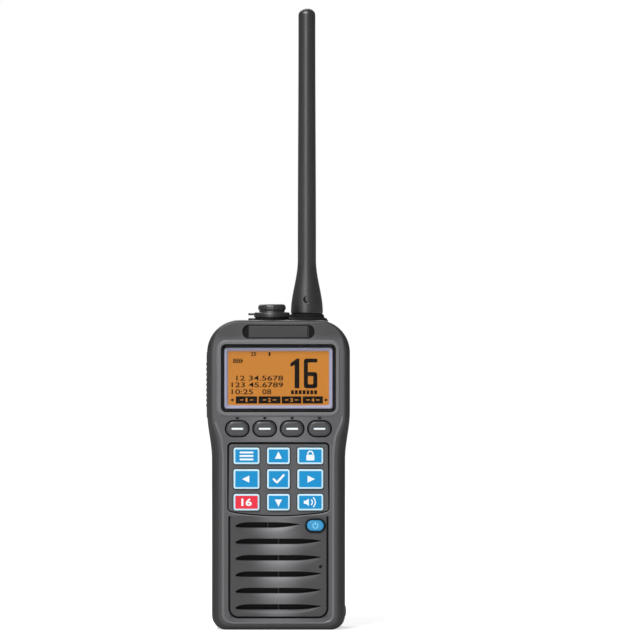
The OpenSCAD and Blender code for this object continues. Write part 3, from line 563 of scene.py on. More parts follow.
def brushed(name, colour, rough, along="X"):
    """Metal with fine scratches stretched along one direction."""
    material = finish_of(name, colour, rough, grain=0.2, bump=0.04, metal=1.0)
    nodes, links = material.node_tree.nodes, material.node_tree.links
    place = nodes["Texture Coordinate"]
    stretch = nodes.new("ShaderNodeMapping")
    stretch.inputs["Scale"].default_value = {"X": (0.05, 1, 1), "Y": (1, 0.05, 1), "Z": (1, 1, 0.05)}[along]
    links.new(place.outputs["Object"], stretch.inputs["Vector"])
    links.new(stretch.outputs["Vector"], nodes["Noise Texture"].inputs["Vector"])
    return material


def lit_amber(name, colour):
    """Backlit display: slow, smooth noise sets how strongly it shines, over a little mottle in colour."""
    material = finish_of(name, colour, 0.35, grain=0.3, bump=0.0, vary=0.05)
    nodes, links = material.node_tree.nodes, material.node_tree.links
    shader = nodes["Principled BSDF"]
    place = nodes.new("ShaderNodeMapping")
    place.inputs["Location"].default_value = (0.5, 0, -3.2)
    place.inputs["Scale"].default_value = (14, 0, 28)
    links.new(nodes["Texture Coordinate"].outputs["Object"], place.inputs["Vector"])
    slope = nodes.new("ShaderNodeTexNoise")
    slope.inputs["Scale"].default_value = 1.0
    slope.inputs["Detail"].default_value = 1.0
    links.new(place.outputs["Vector"], slope.inputs["Vector"])
    level = nodes.new("ShaderNodeMapRange")
    level.inputs["From Min"].default_value = 0.3
    level.inputs["From Max"].default_value = 0.7
    level.inputs["To Min"].default_value = 0.18
    level.inputs["To Max"].default_value = 0.34
    links.new(slope.outputs["Fac"], level.inputs["Value"])
    shader.inputs["Emission Color"].default_value = (*colour, 1)
    links.new(level.outputs["Result"], shader.inputs["Emission Strength"])
    return material


def clear_window(name):
    """Hard clear plastic: almost see-through, with its own faint gloss."""
    material = finish_of(name, (0.02, 0.02, 0.024), 0.06, grain=0.5, bump=0.0, vary=0.02)
    material.node_tree.nodes["Principled BSDF"].inputs["Alpha"].default_value = 0.05
    material.node_tree.nodes["Principled BSDF"].inputs["Specular IOR Level"].default_value = 0.2
    return material


def scaled(colour, factor):
    return tuple(factor * v for v in colour)


def plastics():
    """Moulded and painted finishes: material name, colour, roughness, and what differs from the usual."""
    c = colours()
    return {
        "shell": ("charcoal_plastic_painted_light", c.shell, 0.48, dict(grain=0.22, bump=0.16, vary=0.05, specular=0.35)),
        # painted highlight: a lighter copy of the shell on the ridge, the window's rim and the keypad's outer
        # lip
        "ridge": ("charcoal_ridge_painted_highlight", scaled(c.shell, 1.55), 0.42, dict(grain=0.2, bump=0.08)),
        # painted shade: the shell colour darkened round the edges, also on the louvres' rib and the talk
        # key's well
        "side": ("charcoal_side_painted_shade", c.shell, 0.46, dict(grain=0.22, bump=0.14, specular=0.3)),
        "band": ("dark_plastic", c.band, 0.50, dict(grain=0.25, bump=0.18)),
        # near-black: painted shade in holes, slots, wells and recesses, and the own colour of the pointer
        # marks
        "pit": ("black_marks_and_painted_shade", (0.006, 0.006, 0.006), 0.85, dict(grain=0.3, bump=0.05, specular=0.2)),
        "rubber": ("satin_rubber", c.rubber, 0.42, dict(grain=0.18, bump=0.12, specular=1.0)),
        # a matt, darker copy of the rubber: painted shade round the antenna's foot and in its crescent
        # dimple, also used for the jack's gaskets
        "matt": ("matt_rubber_painted_shade", scaled(c.rubber, 0.7), 0.8, dict(grain=0.2, bump=0.15, specular=0.2)),
        "soft_key": ("soft_key_silicone", (0.040, 0.040, 0.043), 0.36, dict(grain=0.15, bump=0.05, coat=0.2)),
        "blue": ("blue_silicone", c.blue, 0.5, dict(grain=0.15, bump=0.05, vary=0.03, specular=0.2)),
        # painted shade: darker copies of the key colours on the keys' sides and backs
        "blue_deep": ("blue_silicone_side_painted_shade", scaled(c.blue, 0.45), 0.5, dict(bump=0.05)),
        "red": ("red_silicone", c.red, 0.5, dict(grain=0.15, bump=0.05, vary=0.03, specular=0.2)),
        "red_deep": ("red_silicone_side_painted_shade", scaled(c.red, 0.45), 0.5, dict(bump=0.05)),
        "pale": ("pale_print", c.print_pale, 0.5, dict(grain=0.1, bump=0.03, vary=0.03)),
        "border": ("key_border", (0.52, 0.73, 0.84), 0.5, dict(grain=0.1, bump=0.03, vary=0.03)),
        "badge": ("badge_paint", (0.024, 0.024, 0.026), 0.4, dict(grain=0.2, bump=0.03)),
        "bezel": ("violet_frame", c.bezel, 0.38, dict(grain=0.15, bump=0.04, vary=0.03)),
        "ink": ("display_ink", (0.010, 0.008, 0.006), 0.8, dict(grain=0.1, bump=0.02, specular=0.1)),
        "black_print": ("window_print", (0.007, 0.007, 0.008), 0.5, dict(grain=0.2, bump=0.02, specular=0.2)),
        "power": ("power_silicone", (0.02, 0.26, 0.52), 0.35, dict(grain=0.15, bump=0.04, coat=0.2)),
        "power_print": ("power_print", (0.20, 0.62, 0.85), 0.5, dict(grain=0.15, bump=0.03)),
        "clip": ("glass_filled_plastic", (0.030, 0.030, 0.032), 0.52, dict(grain=0.3, bump=0.25)),
        "board": ("solder_mask", (0.02, 0.12, 0.06), 0.3, dict(grain=0.5, bump=0.1, vary=0.2, coat=0.3)),
        "white": ("white_light_guide", (0.75, 0.75, 0.72), 0.4, dict(grain=0.3, bump=0.05)),
        "magnet": ("ferrite", (0.09, 0.09, 0.09), 0.6, dict(grain=0.4, bump=0.3)),
        "paper": ("coated_paper", (0.035, 0.035, 0.036), 0.8, dict(grain=0.5, bump=0.4, sheen=0.1)),
        "ceramic": ("unglazed_ceramic", (0.6, 0.55, 0.42), 0.7, dict(grain=0.3, bump=0.2)),
        "sleeve": ("heat_shrink", (0.05, 0.1, 0.3), 0.3, dict(grain=0.4, bump=0.1, coat=0.3)),
        "seal_red": ("red_seal", (0.30, 0.03, 0.02), 0.45, dict(grain=0.3, bump=0.1)),
    }


METALS = {
    "steel": ("passivated_steel", (0.52, 0.52, 0.53), 0.32),
    "tin": ("tinned_sheet", (0.62, 0.62, 0.63), 0.35),
    "brass": ("plated_brass", (0.62, 0.45, 0.17), 0.28, "Z"),
    "wire": ("spring_wire", (0.6, 0.6, 0.61), 0.2),
}
# the front shell's face and side bands carry painted light and shade
PAINTED_LIGHT_RECIPES = {"shell": painted_face_light, "side": painted_side_shade}
FINISHES = {}


def made_finish(name):
    if name == "amber":
        return lit_amber("amber_display", tuple(colours().amber))
    if name == "window":
        return clear_window("window_plastic")
    if name in METALS:
        return brushed(*METALS[name])
    label, colour, rough, ways = plastics()[name]
    material = finish_of(label, tuple(colour), rough, **ways)
    return with_painted_light(material, PAINTED_LIGHT_RECIPES[name]) if name in PAINTED_LIGHT_RECIPES else material


def finish(name):
    """Each finish is made once, when a piece first asks for it."""
    if name not in FINISHES:
        FINISHES[name] = made_finish(name)
    return FINISHES[name]


def put(skin, name, looks, body, slot, replaces=(), **how):
    """Makes a gathered skin a piece; looks names its finishes, in the order of their numbers."""
    return link(name, skin.mesh(name, [finish(look) for look in looks.split()], **how), body, slot, replaces)


# ------------------------------------------------------------------ the case

# Finish 1 paints recesses near-black as shade, 2 is a painted highlight on ridges and rims, 3 paints shade
# round the sides.
PIT_SHADE, RIDGE_HIGHLIGHT, SIDE_SHADE = 1, 2, 3  # finishes of the front shell, beside 0 for its face
# the deeper bands of a hole's wall are painted near-black as shade
SUNK_SHADE = [0, 0, 0, PIT_SHADE, PIT_SHADE, PIT_SHADE, PIT_SHADE]  # finishes down the edge of a hole
FLANGE = 0.6  # how far a key's hidden flange stands out round its head
KEY_WELL = 3.4  # depth of the wells that the keys sit in
RIDGE_FADE, RIDGE_RUN = 84, 10  # height at which the ridge starts to fade, and the rise over which it does
BADGE_RECESS, BADGE_WELL = (32, 6.2, 2.85), (26.5, 5.5, 0.5)  # width, height and corner radius
GRILLE_HALF = 19.2  # half the width of the louvred sheet
BLUNT_TIP, TAPERED_TIP = 6, 12  # lengths over which a slot opens at its left and closes at its right
PAD_TOP = span("key_menu")[1][2] - FLANGE + 2.4
PAD_FOOT = span("key_16")[0][2] + FLANGE - 2.55
PAD_HALF, PAD_SAG, PAD_CORNER, PAD_DEPTH = 22.75, 1.9, 2.0, 0.8
RIM_W, RIM_T, WINDOW_R = 1.7, 0.5, 2.2
LENS_W, LENS_H = (span("window_lens")[1] - span("window_lens")[0])[[0, 2]] + 0.2
WINDOW_Z = middle("window_lens")[2]
SOFT_KEYS = [f"soft_key_{i}" for i in range(1, 5)]
PAD_KEYS = ["key_menu", "key_up", "key_clear", "key_left", "key_ok", "key_right", "key_16", "key_down",
            "key_volume"]
SLOT_Z = [46.5, 39.2, 31.9, 24.6, 17.3, 10.0]
SLOT_HALF, LOUVRE_DEEP = 19.0, 1.93
GROOVE_X, GROOVE_Z, GROOVE_R, GROOVE_W, GROOVE_D = 21.85, 5.6, 4.1, 0.8, 0.75
BADGE_Z = middle("badge_plate")[2]
TALK_W = 9.0
TALK_BAND = (90, 127)  # heights between which the left wall is cut out round the talk key


def head_of(key):
    """Width, height and middle of the part of a key that shows."""
    low, high = span(key)
    size, mid = high - low, (low + high) / 2
    return size[0] - 2 * FLANGE, size[2] - 2 * FLANGE, mid[0], mid[2]


def keypad_outline():
    """Rounded rectangle whose lower edge is a shallow bow."""
    turn = np.radians(np.linspace(0, 90, 7))
    r, x, top = PAD_CORNER, PAD_HALF, PAD_TOP
    foot = PAD_FOOT + PAD_SAG * 0.92
    ne = np.stack([x - r + r * np.cos(turn), top - r + r * np.sin(turn)], -1)
    nw = ne[::-1] * [-1, 1]
    sw = np.stack([-(x - r) - r * np.cos(turn), foot + r - r * np.sin(turn)], -1)
    xs = np.linspace(-(x - r), x - r, 25)[1:-1]
    bow = np.stack([xs, PAD_FOOT + PAD_SAG * (xs / x) ** 2], -1)
    return np.concatenate([ne, nw, sw, bow, sw[::-1] * [-1, 1]])


def groove_line():
    """Middle line of the U-shaped groove, down the left, round the foot and up the right."""
    turn = np.radians(np.linspace(180, 270, 9))
    down = np.stack([np.full(8, -GROOVE_X), np.linspace(50.3, GROOVE_Z + GROOVE_R, 8)], -1)
    bend = np.stack([-GROOVE_X + GROOVE_R + GROOVE_R * np.cos(turn),
                     GROOVE_Z + GROOVE_R + GROOVE_R * np.sin(turn)], -1)
    xs = np.linspace(-GROOVE_X + GROOVE_R, 0, 6)[1:]
    half = np.concatenate([down, bend[1:], np.stack([xs, np.full(5, GROOVE_Z)], -1)])
    return np.concatenate([half, half[:-1][::-1] * [-1, 1]])


def louvre_sheet(skin, x0, x1, z0, z1, slots, tips, rib_x):
    """Louvres as one grid. A slot's edges lie at z +- h/2 * e(x): e is a quarter ellipse at the left tip
    times a quarter parabola at the right one. Below it a scoop sinks to its lower edge by a parabola in x,
    deepest in the middle, and inside it the floor drops away except at the rib. Gives the grid's outline, at
    face level."""
    s = sizes()
    h, d = s["slot_height"], s["scoop_depth"]
    mid, half = (tips[0] + tips[1]) / 2, (tips[1] - tips[0]) / 2
    xs = np.concatenate([np.linspace(x0, x1, 89), rib_x + np.array([-0.42, -0.34, -0.28, 0.28, 0.34, 0.42]),
                         tips[0] + np.array([0.1, 0.3, 0.6, 1.1]), tips[1] - np.array([0.1, 0.3, 0.6, 1.1])])
    xs = np.unique(np.round(xs, 4))
    blunt = np.sqrt(1 - (1 - np.clip((xs - tips[0]) / BLUNT_TIP, 0, 1)) ** 2)
    taper = 1 - (1 - np.clip((tips[1] - xs) / TAPERED_TIP, 0, 1)) ** 2
    e, bend = blunt * taper, h * (0.12 * (1 - taper) - 0.3 * (1 - blunt)) * (xs > tips[0]) * (xs < tips[1])
    rib = (np.abs(xs - rib_x) < 0.32)
    rows, depths, sunk = [np.full_like(xs, z0)], [0 * xs], [False]
    sink = d * np.clip(1 - ((xs - mid) / half) ** 2, 0, 1)
    deep = sink + (LOUVRE_DEEP - sink) * smooth(e * 5)
    for z, reach in slots:
        shift = 0.0
        for t in np.linspace(0, 1, 11):
            rows.append(z + bend - e * (h / 2 + reach * (1 - t)) + shift)
            depths.append(sink * (0.35 * t + 0.65 * t * t))
            sunk.append(t == 1)
            shift += 0.02
        floor = [(0.05, 0.06), (0.10, 0.25), (0.13, 0.95), (0.2, 1.0), (0.5, 1.0), (0.85, 1.0), (0.9, 0.95)]
        for w, f in floor:
            below = sink + (deep - sink) * f
            held = sink * (1 - 0.7 * w) + 0.5 * f
            rows.append(z + bend + e * h * (w - 0.5) + shift)
            depths.append(np.where(rib, held, below))
            sunk.append(True)
            shift += 0.02
        lip = [(0.93, 0.45), (0.945, 0.16), (0.965, 0.06), (0.985, 0.015), (1.02, 0.0), (1.08, 0.0)]
        for w, f in lip:
            rows.append(z + bend + e * h * (w - 0.5) + shift)
            depths.append(np.where(rib, np.minimum(f * 1.2, sink * 0.3 + 0.5), f * 1.2) * smooth(e * 4))
            sunk.append(f > 0.1)
            shift += 0.02
    rows.append(np.full_like(xs, z1))
    depths.append(0 * xs)
    sunk.append(False)
    z, depth = np.array(rows), np.array(depths)
    points = on_face(np.stack([np.broadcast_to(xs, z.shape), z], -1), depth)
    # slot walls and floors are painted near-black as shade, the rib with the painted side shade
    in_slot = (np.array(sunk[:-1]) & np.array(sunk[1:]))[:, None] & (e[:-1] + e[1:] > 0.02)
    skin.grid(points, np.where(in_slot, np.where(rib[:-1] & rib[1:], SIDE_SHADE, PIT_SHADE), 0))
    flat = points[..., [0, 2]]
    return np.concatenate([flat[0], flat[1:-1, -1], flat[-1][::-1], flat[1:-1, 0][::-1]])


def edge_scales(loop):
    """How much of the full edge rounding each outline point takes: across the face, and in depth."""
    s = sizes()
    z = loop[:, 1]
    across = 0.6 + 0.4 * smooth(z / s["base_radius"]) - 0.36 * smooth((z - RIDGE_FADE) / RIDGE_RUN)
    across -= 0.37 * smooth((z - (BODY_TOP - s["top_radius"] + 2)) / (s["top_radius"] - 3))
    least = s["foot_radius"] / s["edge_radius"]
    deep = least + (1 - least) * smooth(z / s["base_radius"])
    deep -= (1 - s["brow_radius"] / s["edge_radius"]) * smooth((z - (BODY_TOP - 6)) / 5)
    return across, deep


def front_edge_rows(loop):
    """The rounded front edge: level, a low ridge and a quarter ellipse down to the straight side."""
    s = sizes()
    across, deep = edge_scales(loop)
    e = s["edge_radius"]
    ridge = s["ridge_height"] * (1 - smooth((loop[:, 1] - RIDGE_FADE) / RIDGE_RUN))
    level = [(6.15, 0), (5.95, 0), (5.7, 0.35), (5.45, 0.9), (5.2, 1.0), (4.95, 0.9), (4.7, 0.4), (4.5, -0.1)]
    rows = [(eased(loop, inset, across), -up * ridge) for inset, up in level]
    for a in np.radians([14, 24, 34, 44, 54, 64, 74, 82, 90]):
        rows.append((eased(loop, e * (1 - math.sin(a)), across), e * (1 - math.cos(a)) * deep))
    return rows


def eased(loop, inset, across):
    """The outline moved inwards, its lower corners held to arcs that shrink by half the inset only."""
    s = sizes()
    points = moved_out(loop, -inset * across)
    r = s["base_radius"] - 0.5 * inset
    centre = np.stack([np.sign(points[:, 0]) * (s["grip_width"] / 2 - inset - r),
                       np.full(len(points), 0.6 * inset + r)], -1)
    out = points - centre
    far = np.hypot(out[:, 0], out[:, 1])
    beyond = (out[:, 0] * centre[:, 0] > 0) & (out[:, 1] < 0) & (far > r)
    return np.where(beyond[:, None], centre + out / far[:, None] * r, points)


class RADIO_OT_front_shell(bpy.types.Operator):
    """Front shell: the waisted outline with its rounded edge and ridge, and every opening sunk in its face"""
    bl_idname = "radio.front_shell"
    bl_label = "Front shell"

    def execute(self, context):
        skin = Skin()
        loop = silhouette()
        rows = front_edge_rows(loop)
        # bands: a painted highlight along the ridge, painted shade down the rounded edge
        bands = np.array([0] + [RIDGE_HIGHLIGHT] * 5 + [0] + [SIDE_SHADE] * (len(rows) - 8))[:, None] + 0 * loop[:, 1]
        bands[(bands == RIDGE_HIGHLIGHT) & (loop[:, 1] > RIDGE_FADE + RIDGE_RUN)] = 0
        skin.grid(np.stack([on_face(p, d) for p, d in rows]), bands, wrap=True)
        seam = PARTING - FACE
        side_y = np.stack([rows[-1][1], np.full(len(loop), seam - 0.35)])
        strip = np.stack([on_face(loop, d) for d in side_y])
        at = np.flatnonzero((loop[:, 0] < 0) & (loop[:, 1] > TALK_BAND[0]) & (loop[:, 1] < TALK_BAND[1]))
        first, last = at.min(), at.max()
        keep = np.r_[last:len(loop), 0:first + 1]
        skin.grid(strip[:, keep], SIDE_SHADE)
        self.side_patch(skin, strip[:, first:last + 1])
        skin.grid(np.stack([strip[1], on_face(moved_out(loop, -0.3), seam)]), SIDE_SHADE, wrap=True)
        skin.fill([moved_out(loop, -0.3)], seam)
        skin.fill([rows[0][0]] + self.openings(skin))
        put(skin, "front_shell", "shell pit ridge side", "case", "shell_grey", ["front_case"])
        return {"FINISHED"}

    def side_patch(self, skin, strip):
        """The left wall round the push-to-talk key, flat in (y, z), carried out to the case's width."""
        low, high = span("ptt_button")
        mid = middle("ptt_button")

        def place(points, depth):
            points = np.asarray(points)
            wall = np.broadcast_to(depth, points.shape[:-1]) - half_w(points[..., 1])
            return np.stack([wall, points[..., 0], points[..., 1]], -1)

        shape = round_rect(TALK_W + 0.4, high[2] - low[2] - 1.8 + 0.4, 4.2, mid[1], mid[2])
        border = np.concatenate([strip[0], strip[1][::-1]])[:, 1:]
        # the well's floor is painted near-black as shade, its wall with the painted side shade
        well = hole(skin, shape, 0.15, 2.6, SIDE_SHADE, floor_finish=PIT_SHADE, place=place)
        skin.fill([border, well], 0.0, place, SIDE_SHADE)

    def openings(self, skin):
        """Sinks each opening and gives the loops that the face is filled to."""
        loops = []
        # window: raised rim with a painted highlight, seat of the lens, pit behind it painted near-black as
        # shade
        rim = round_rect(LENS_W + 2 * RIM_W, LENS_H + 2 * RIM_W, 4.0, 0, WINDOW_Z)
        window = round_rect(LENS_W, LENS_H, WINDOW_R, 0, WINDOW_Z)
        up = [(0.3, 0), (0.18, 0), (0.06, -0.06), (0.0, -0.2), (-0.06, -0.36), (-0.2, -0.47), (-0.38, -0.5)]
        skin.carry(rim, up, finish=RIDGE_HIGHLIGHT)
        crest = [rim(-0.38), window(0.34)]
        skin.grid(np.stack([on_face(c, -RIM_T) for c in crest]), RIDGE_HIGHLIGHT, wrap=True)
        down = [(0.34, -0.5), (0.16, -0.46), (0.05, -0.36), (0, -0.2), (0, 1.25), (-0.1, 1.4), (-1.25, 1.4),
                (-1.35, 1.5), (-1.35, 6.0), (-1.5, 6.2)]
        skin.carry(window, down, finish=[RIDGE_HIGHLIGHT, RIDGE_HIGHLIGHT] + [PIT_SHADE] * 7)
        skin.fill([window(-1.5)], 6.2, finish=1)
        loops.append(rim(0.3))
        # badge recess with stepped ends, its walls and end floors painted near-black as shade
        recess = round_rect(*BADGE_RECESS, 0, BADGE_Z)
        well = round_rect(*BADGE_WELL, 0, BADGE_Z)
        loops.append(hole(skin, recess, 0.18, 0.55, SUNK_SHADE, floor=False))
        skin.fill([recess(-FLOOR_CUT), hole_at(skin, well, 0.08, 0.55, 1.1)], 0.55, finish=PIT_SHADE)
        # keys: wells whose floors, and most walls, are painted near-black as shade
        for key in SOFT_KEYS:
            w, h, x, z = head_of(key)
            loops.append(hole(skin, pill(w + 0.7, h + 0.7, x, z), 0.32, KEY_WELL, SUNK_SHADE, floor_finish=PIT_SHADE))
        edge = keypad_outline()

        def pad(grow):
            return moved_out(edge, grow * (1 + 0.7 * (grow < 0) * smooth((edge[:, 1] - 54) / 3)))

        moat = [(0.42, 0), (0.28, 0.02), (0.13, 0.1), (0.03, 0.25), (0, 0.5), (-0.04, 1.0), (-0.15, 1.15),
                (-0.33, 1.15), (-0.44, 1.0), (-0.5, PAD_DEPTH)]
        # painted highlight on the moat's outer lip, painted near-black shade down into it
        skin.carry(pad, moat, finish=[RIDGE_HIGHLIGHT] * 3 + [PIT_SHADE] * 6)
        loops.append(pad(0.42))
        wells = []
        for key in PAD_KEYS:
            w, h, x, z = head_of(key)
            shape = round_rect(w + 0.5, h + 0.5, 1.25, x, z)
            wells.append(hole_at(skin, shape, 0.1, PAD_DEPTH, KEY_WELL, PIT_SHADE))
        skin.fill([pad(-0.5)] + wells, PAD_DEPTH)
        low, high = span("power_key_ring")
        mid = middle("power_key_ring")
        shape = pill(high[0] - low[0] - 0.8, high[2] - low[2] - 0.8, mid[0], mid[2])
        loops.append(hole(skin, shape, 0.12, KEY_WELL, floor_finish=PIT_SHADE))
        # grille: a U groove painted near-black as shade inside, and the louvres
        loops.append(hole(skin, ribbon(groove_line(), GROOVE_W), 0.2, GROOVE_D, SUNK_SHADE))
        long = [(z, 3.5) for z in SLOT_Z[:0:-1]]
        long[0] = (long[0][0], 1.5)
        loops.append(louvre_sheet(skin, -GRILLE_HALF, GRILLE_HALF, 6.75, 41.0, long,
                                  (-SLOT_HALF, SLOT_HALF), 0.0))
        right = span("power_key_ring")[0][0] - 2.4
        loops.append(louvre_sheet(skin, -GRILLE_HALF, right + 0.7, 41.3, 48.4, [(SLOT_Z[0], 3.3)],
                                  (-SLOT_HALF, right), (right - SLOT_HALF) / 2))
        return loops


def hole_at(skin, shape, r, top, bottom, floor_finish=0):
    """A hole that starts from a level already sunk by top."""
    skin.carry(shape, [(g, top + d) for g, d in rounded(r, bottom - top)], finish=SUNK_SHADE)
    skin.fill([shape(-FLOOR_CUT)], bottom, finish=floor_finish)
    return shape(r + SUPPORT)


FLAT_BACK = (14, 26)  # columns of a level section between which its back is flat
FLAT_BAY = (4, 36)  # the same inside the battery bay
SEAM = 0.25  # mm taken off the edges that meet between the bay and the battery


def sections(skin, rows, windows):
    """Grid of level sections, less some windows: first and last row, first and last column."""
    start = 0
    for first, last, left, right in windows:
        skin.grid(rows[start:first + 1], wrap=True)
        part = rows[first:last + 1]
        skin.grid(np.concatenate([part[:, right:], part[:, :left + 1]], 1))
        start = last
    skin.grid(rows[start:], wrap=True)
    for end in (rows[0], rows[-1]):
        yield end


def window_loop(rows, first, last, left, right):
    """Outline of a window as (x, z) points, without repeats."""
    flat = rows[first:last + 1, left:right + 1, ::2]
    loop = np.concatenate([flat[0, :-1], flat[:-1, -1], flat[-1, :0:-1], flat[:0:-1, 0]])
    return loop[np.linalg.norm(loop - np.roll(loop, 1, 0), axis=1) > 1e-6]


def behind(level):
    """Places (x, z) points at a depth in front of a level plane that faces the back."""
    return lambda points, depth: on_face(points, -np.asarray(depth), level=level)


def on_top(points, depth):
    """(x, y) points at a depth under the top of the case."""
    points = np.asarray(points, float)
    return np.concatenate([points, (BODY_TOP - np.broadcast_to(depth, points.shape[:-1]))[..., None]], -1)


def section_rows(levels, front, bay=None):
    """Level sections of the rear: along one side, round the corner, across the back, and mirrored. Each is
    kept in front of its own limit, which makes the battery bay. The edge at the bay wall, or else at the
    front, is bevelled."""
    s = sizes()
    turn = np.radians(np.linspace(0, 90, 9))
    rows = []
    for z, limit, inset in levels:
        w, d = float(half_w(z)) - inset, float(half_d(z)) - inset
        e = s["edge_radius"]
        if bay:
            y = np.concatenate([np.linspace(front, bay - SEAM, 4), np.linspace(bay + 1, d - e, 3)])
        else:
            y = np.concatenate([[front, front + SEAM], np.linspace(front + 1, d - e, 5)])
        side = np.stack([np.full(7, w), y], -1)
        side[0, 0] -= 0 if bay else SEAM
        bend = np.stack([w - e + e * np.cos(turn), d - e + e * np.sin(turn)], -1)[1:]
        half = np.concatenate([side, bend])
        back = np.stack([np.linspace(w - e, -(w - e), 13)[1:-1], np.full(11, d)], -1)
        close = np.stack([np.linspace(-w, w, 13)[1:-1], np.full(11, front)], -1)
        loop = np.concatenate([half, back, half[::-1] * [-1, 1], close])
        over = loop[:, 1] > limit
        loop[over, 0] = np.clip(loop[over, 0], SEAM - w, w - SEAM)
        loop[:, 1] = np.minimum(loop[:, 1], limit)
        rows.append(np.column_stack([loop, np.full(len(loop), z)]))
    return np.stack(rows)


class RADIO_OT_rear_shell(bpy.types.Operator):
    """Rear shell: level sections from the parting line back, with the battery bay, and the antenna's boss"""
    bl_idname = "radio.rear_shell"
    bl_label = "Rear shell"

    def execute(self, context):
        bay, size = BAY_Y, sizes()
        brow_r, top_r = size["brow_radius"], size["top_radius"]
        bend = 1 - np.cos(np.radians(np.linspace(0, 90, 8)))
        corner = 1 - np.cos(np.radians([50, 60, 70, 80, 90]))
        low = [size["foot_radius"] * bend, size["base_radius"] * corner, [8, 10, 12, 13.4, 13.7]]
        low = sorted(set(np.round(np.concatenate(low), 4)))
        mid = np.linspace(BAY[0] + 0.02, BAY[1] - 0.02, 40)
        shoulder = BODY_TOP - top_r + top_r * np.sin(np.radians(np.linspace(0, 90, 16)))
        brow = BODY_TOP - brow_r + brow_r * np.sin(np.radians(np.linspace(0, 90, 7)))
        high = sorted(set(np.round(np.concatenate([[BAY[1] + 0.3, 108, 114, 119], shoulder, brow]), 4)))
        levels = [(z, FREE, 0) for z in low]
        levels += [(BAY[0] - 0.12, BACK - 0.06, 0), (BAY[0], BACK - 0.3, 0), (BAY[0], bay, 0)]
        levels += [(z, bay, 0) for z in mid]
        levels += [(BAY[1], bay, 0), (BAY[1], BACK - 0.3, 0), (BAY[1] + 0.12, BACK - 0.06, 0)]
        levels += [(z, FREE, 0) for z in high]
        rows = section_rows(levels, PARTING + 0.35, BAY_Y)
        depth = [level[1] for level in levels]
        in_bay = (depth.index(bay), len(depth) - 1 - depth[::-1].index(bay), *FLAT_BAY)
        foot = (int(np.searchsorted(low, size["foot_radius"] - 0.01)), len(low) - 1, *FLAT_BACK)
        skin = Skin()
        ends = list(sections(skin, rows, [foot, in_bay]))
        skin.cap(ends[0][:, :2], 0, lambda p, d: np.column_stack([p, 0 * p[:, 0]]))
        x, y = middle("antenna_bush")[:2]
        skin.fill([ends[1][:, :2], hole(skin, disc(4.5, x, y, 32), 0.1, 9.9, place=on_top)], 0, on_top)
        wall, back = behind(BAY_Y), behind(BACK)
        contact_z = middle("battery_contacts")[2]
        sockets = [hole(skin, disc(1.7, across, contact_z, 24), 0.25, 3, place=wall) for across in (-6, 0, 6)]
        sockets.append(hole(skin, disc(2.75, 0, middle("battery_screw")[2], 32), 0.3, 4.5, place=wall))
        for reach, z in SCREWS:
            for side in (-1, 1):
                sockets.append(hole(skin, disc(SCREW_HEAD + 0.2, side * reach, z, 24), 0.15, 2.6, place=wall))
        skin.fill([window_loop(rows, *in_bay)] + sockets, 0, wall)
        eye = hole(skin, round_rect(7.5, 6, 0.8, 17.45, 7), 0.25, 6.5, place=back)
        skin.fill([window_loop(rows, *foot), eye], 0, back)
        loop = silhouette()
        inner = moved_out(loop, -0.3)
        seam = PARTING - FACE
        skin.grid(np.stack([on_face(inner, seam), on_face(loop, seam + 0.36)]), wrap=True)
        skin.fill([inner], seam)
        skin.fill([loop], seam + 0.36)
        put(skin, "rear_shell", "band", "case", "shell_dark", ["rear_case"])
        x, y = middle("antenna_seat")[:2]
        boss = [(4.6, 126), (9.2, 126), (9.5, 126.4), (9.5, 137.85), (9.45, 137.98), (9.35, 138.02),
                (4.6, 138.02), (4.6, 126)]
        put(turned(boss, (x, y), 72), "antenna_boss", "band", "case", "shell_dark")
        self.lanyard_eye()
        return {"FINISHED"}

    def lanyard_eye(self):
        """A ring round the bore of the lanyard eye, square to the rounded corner at that place."""
        w, e, y, z = float(half_w(7.0)), sizes()["edge_radius"], BACK - 4.2, 7.0
        turn = math.asin((y - BACK + e) / e)
        out = np.array([math.cos(turn), math.sin(turn), 0])
        along = np.array([-math.sin(turn), math.cos(turn), 0])
        r = np.array([0, 1.6, 1.95, 2.05, 2.2, 2.45, 2.65, 2.7, 0])
        up = np.array([0.03, 0.03, 0.06, 0.16, 0.24, 0.24, 0.14, -0.6, -0.6])
        a = whole_turn(32)
        centre = np.array([w - e, BACK - e, z]) + e * out
        points = (centre + up[:, None, None] * out + r[:, None, None] * np.cos(a)[:, None] * along
                  + r[:, None, None] * np.sin(a)[:, None] * [0, 0, 1])
        skin = Skin()
        # the bore is painted near-black as shade
        skin.grid(points, [1, 1, 1, 0, 0, 0, 0, 0], wrap=True)
        put(skin, "lanyard_ring", "band pit", "case", "shell_dark")


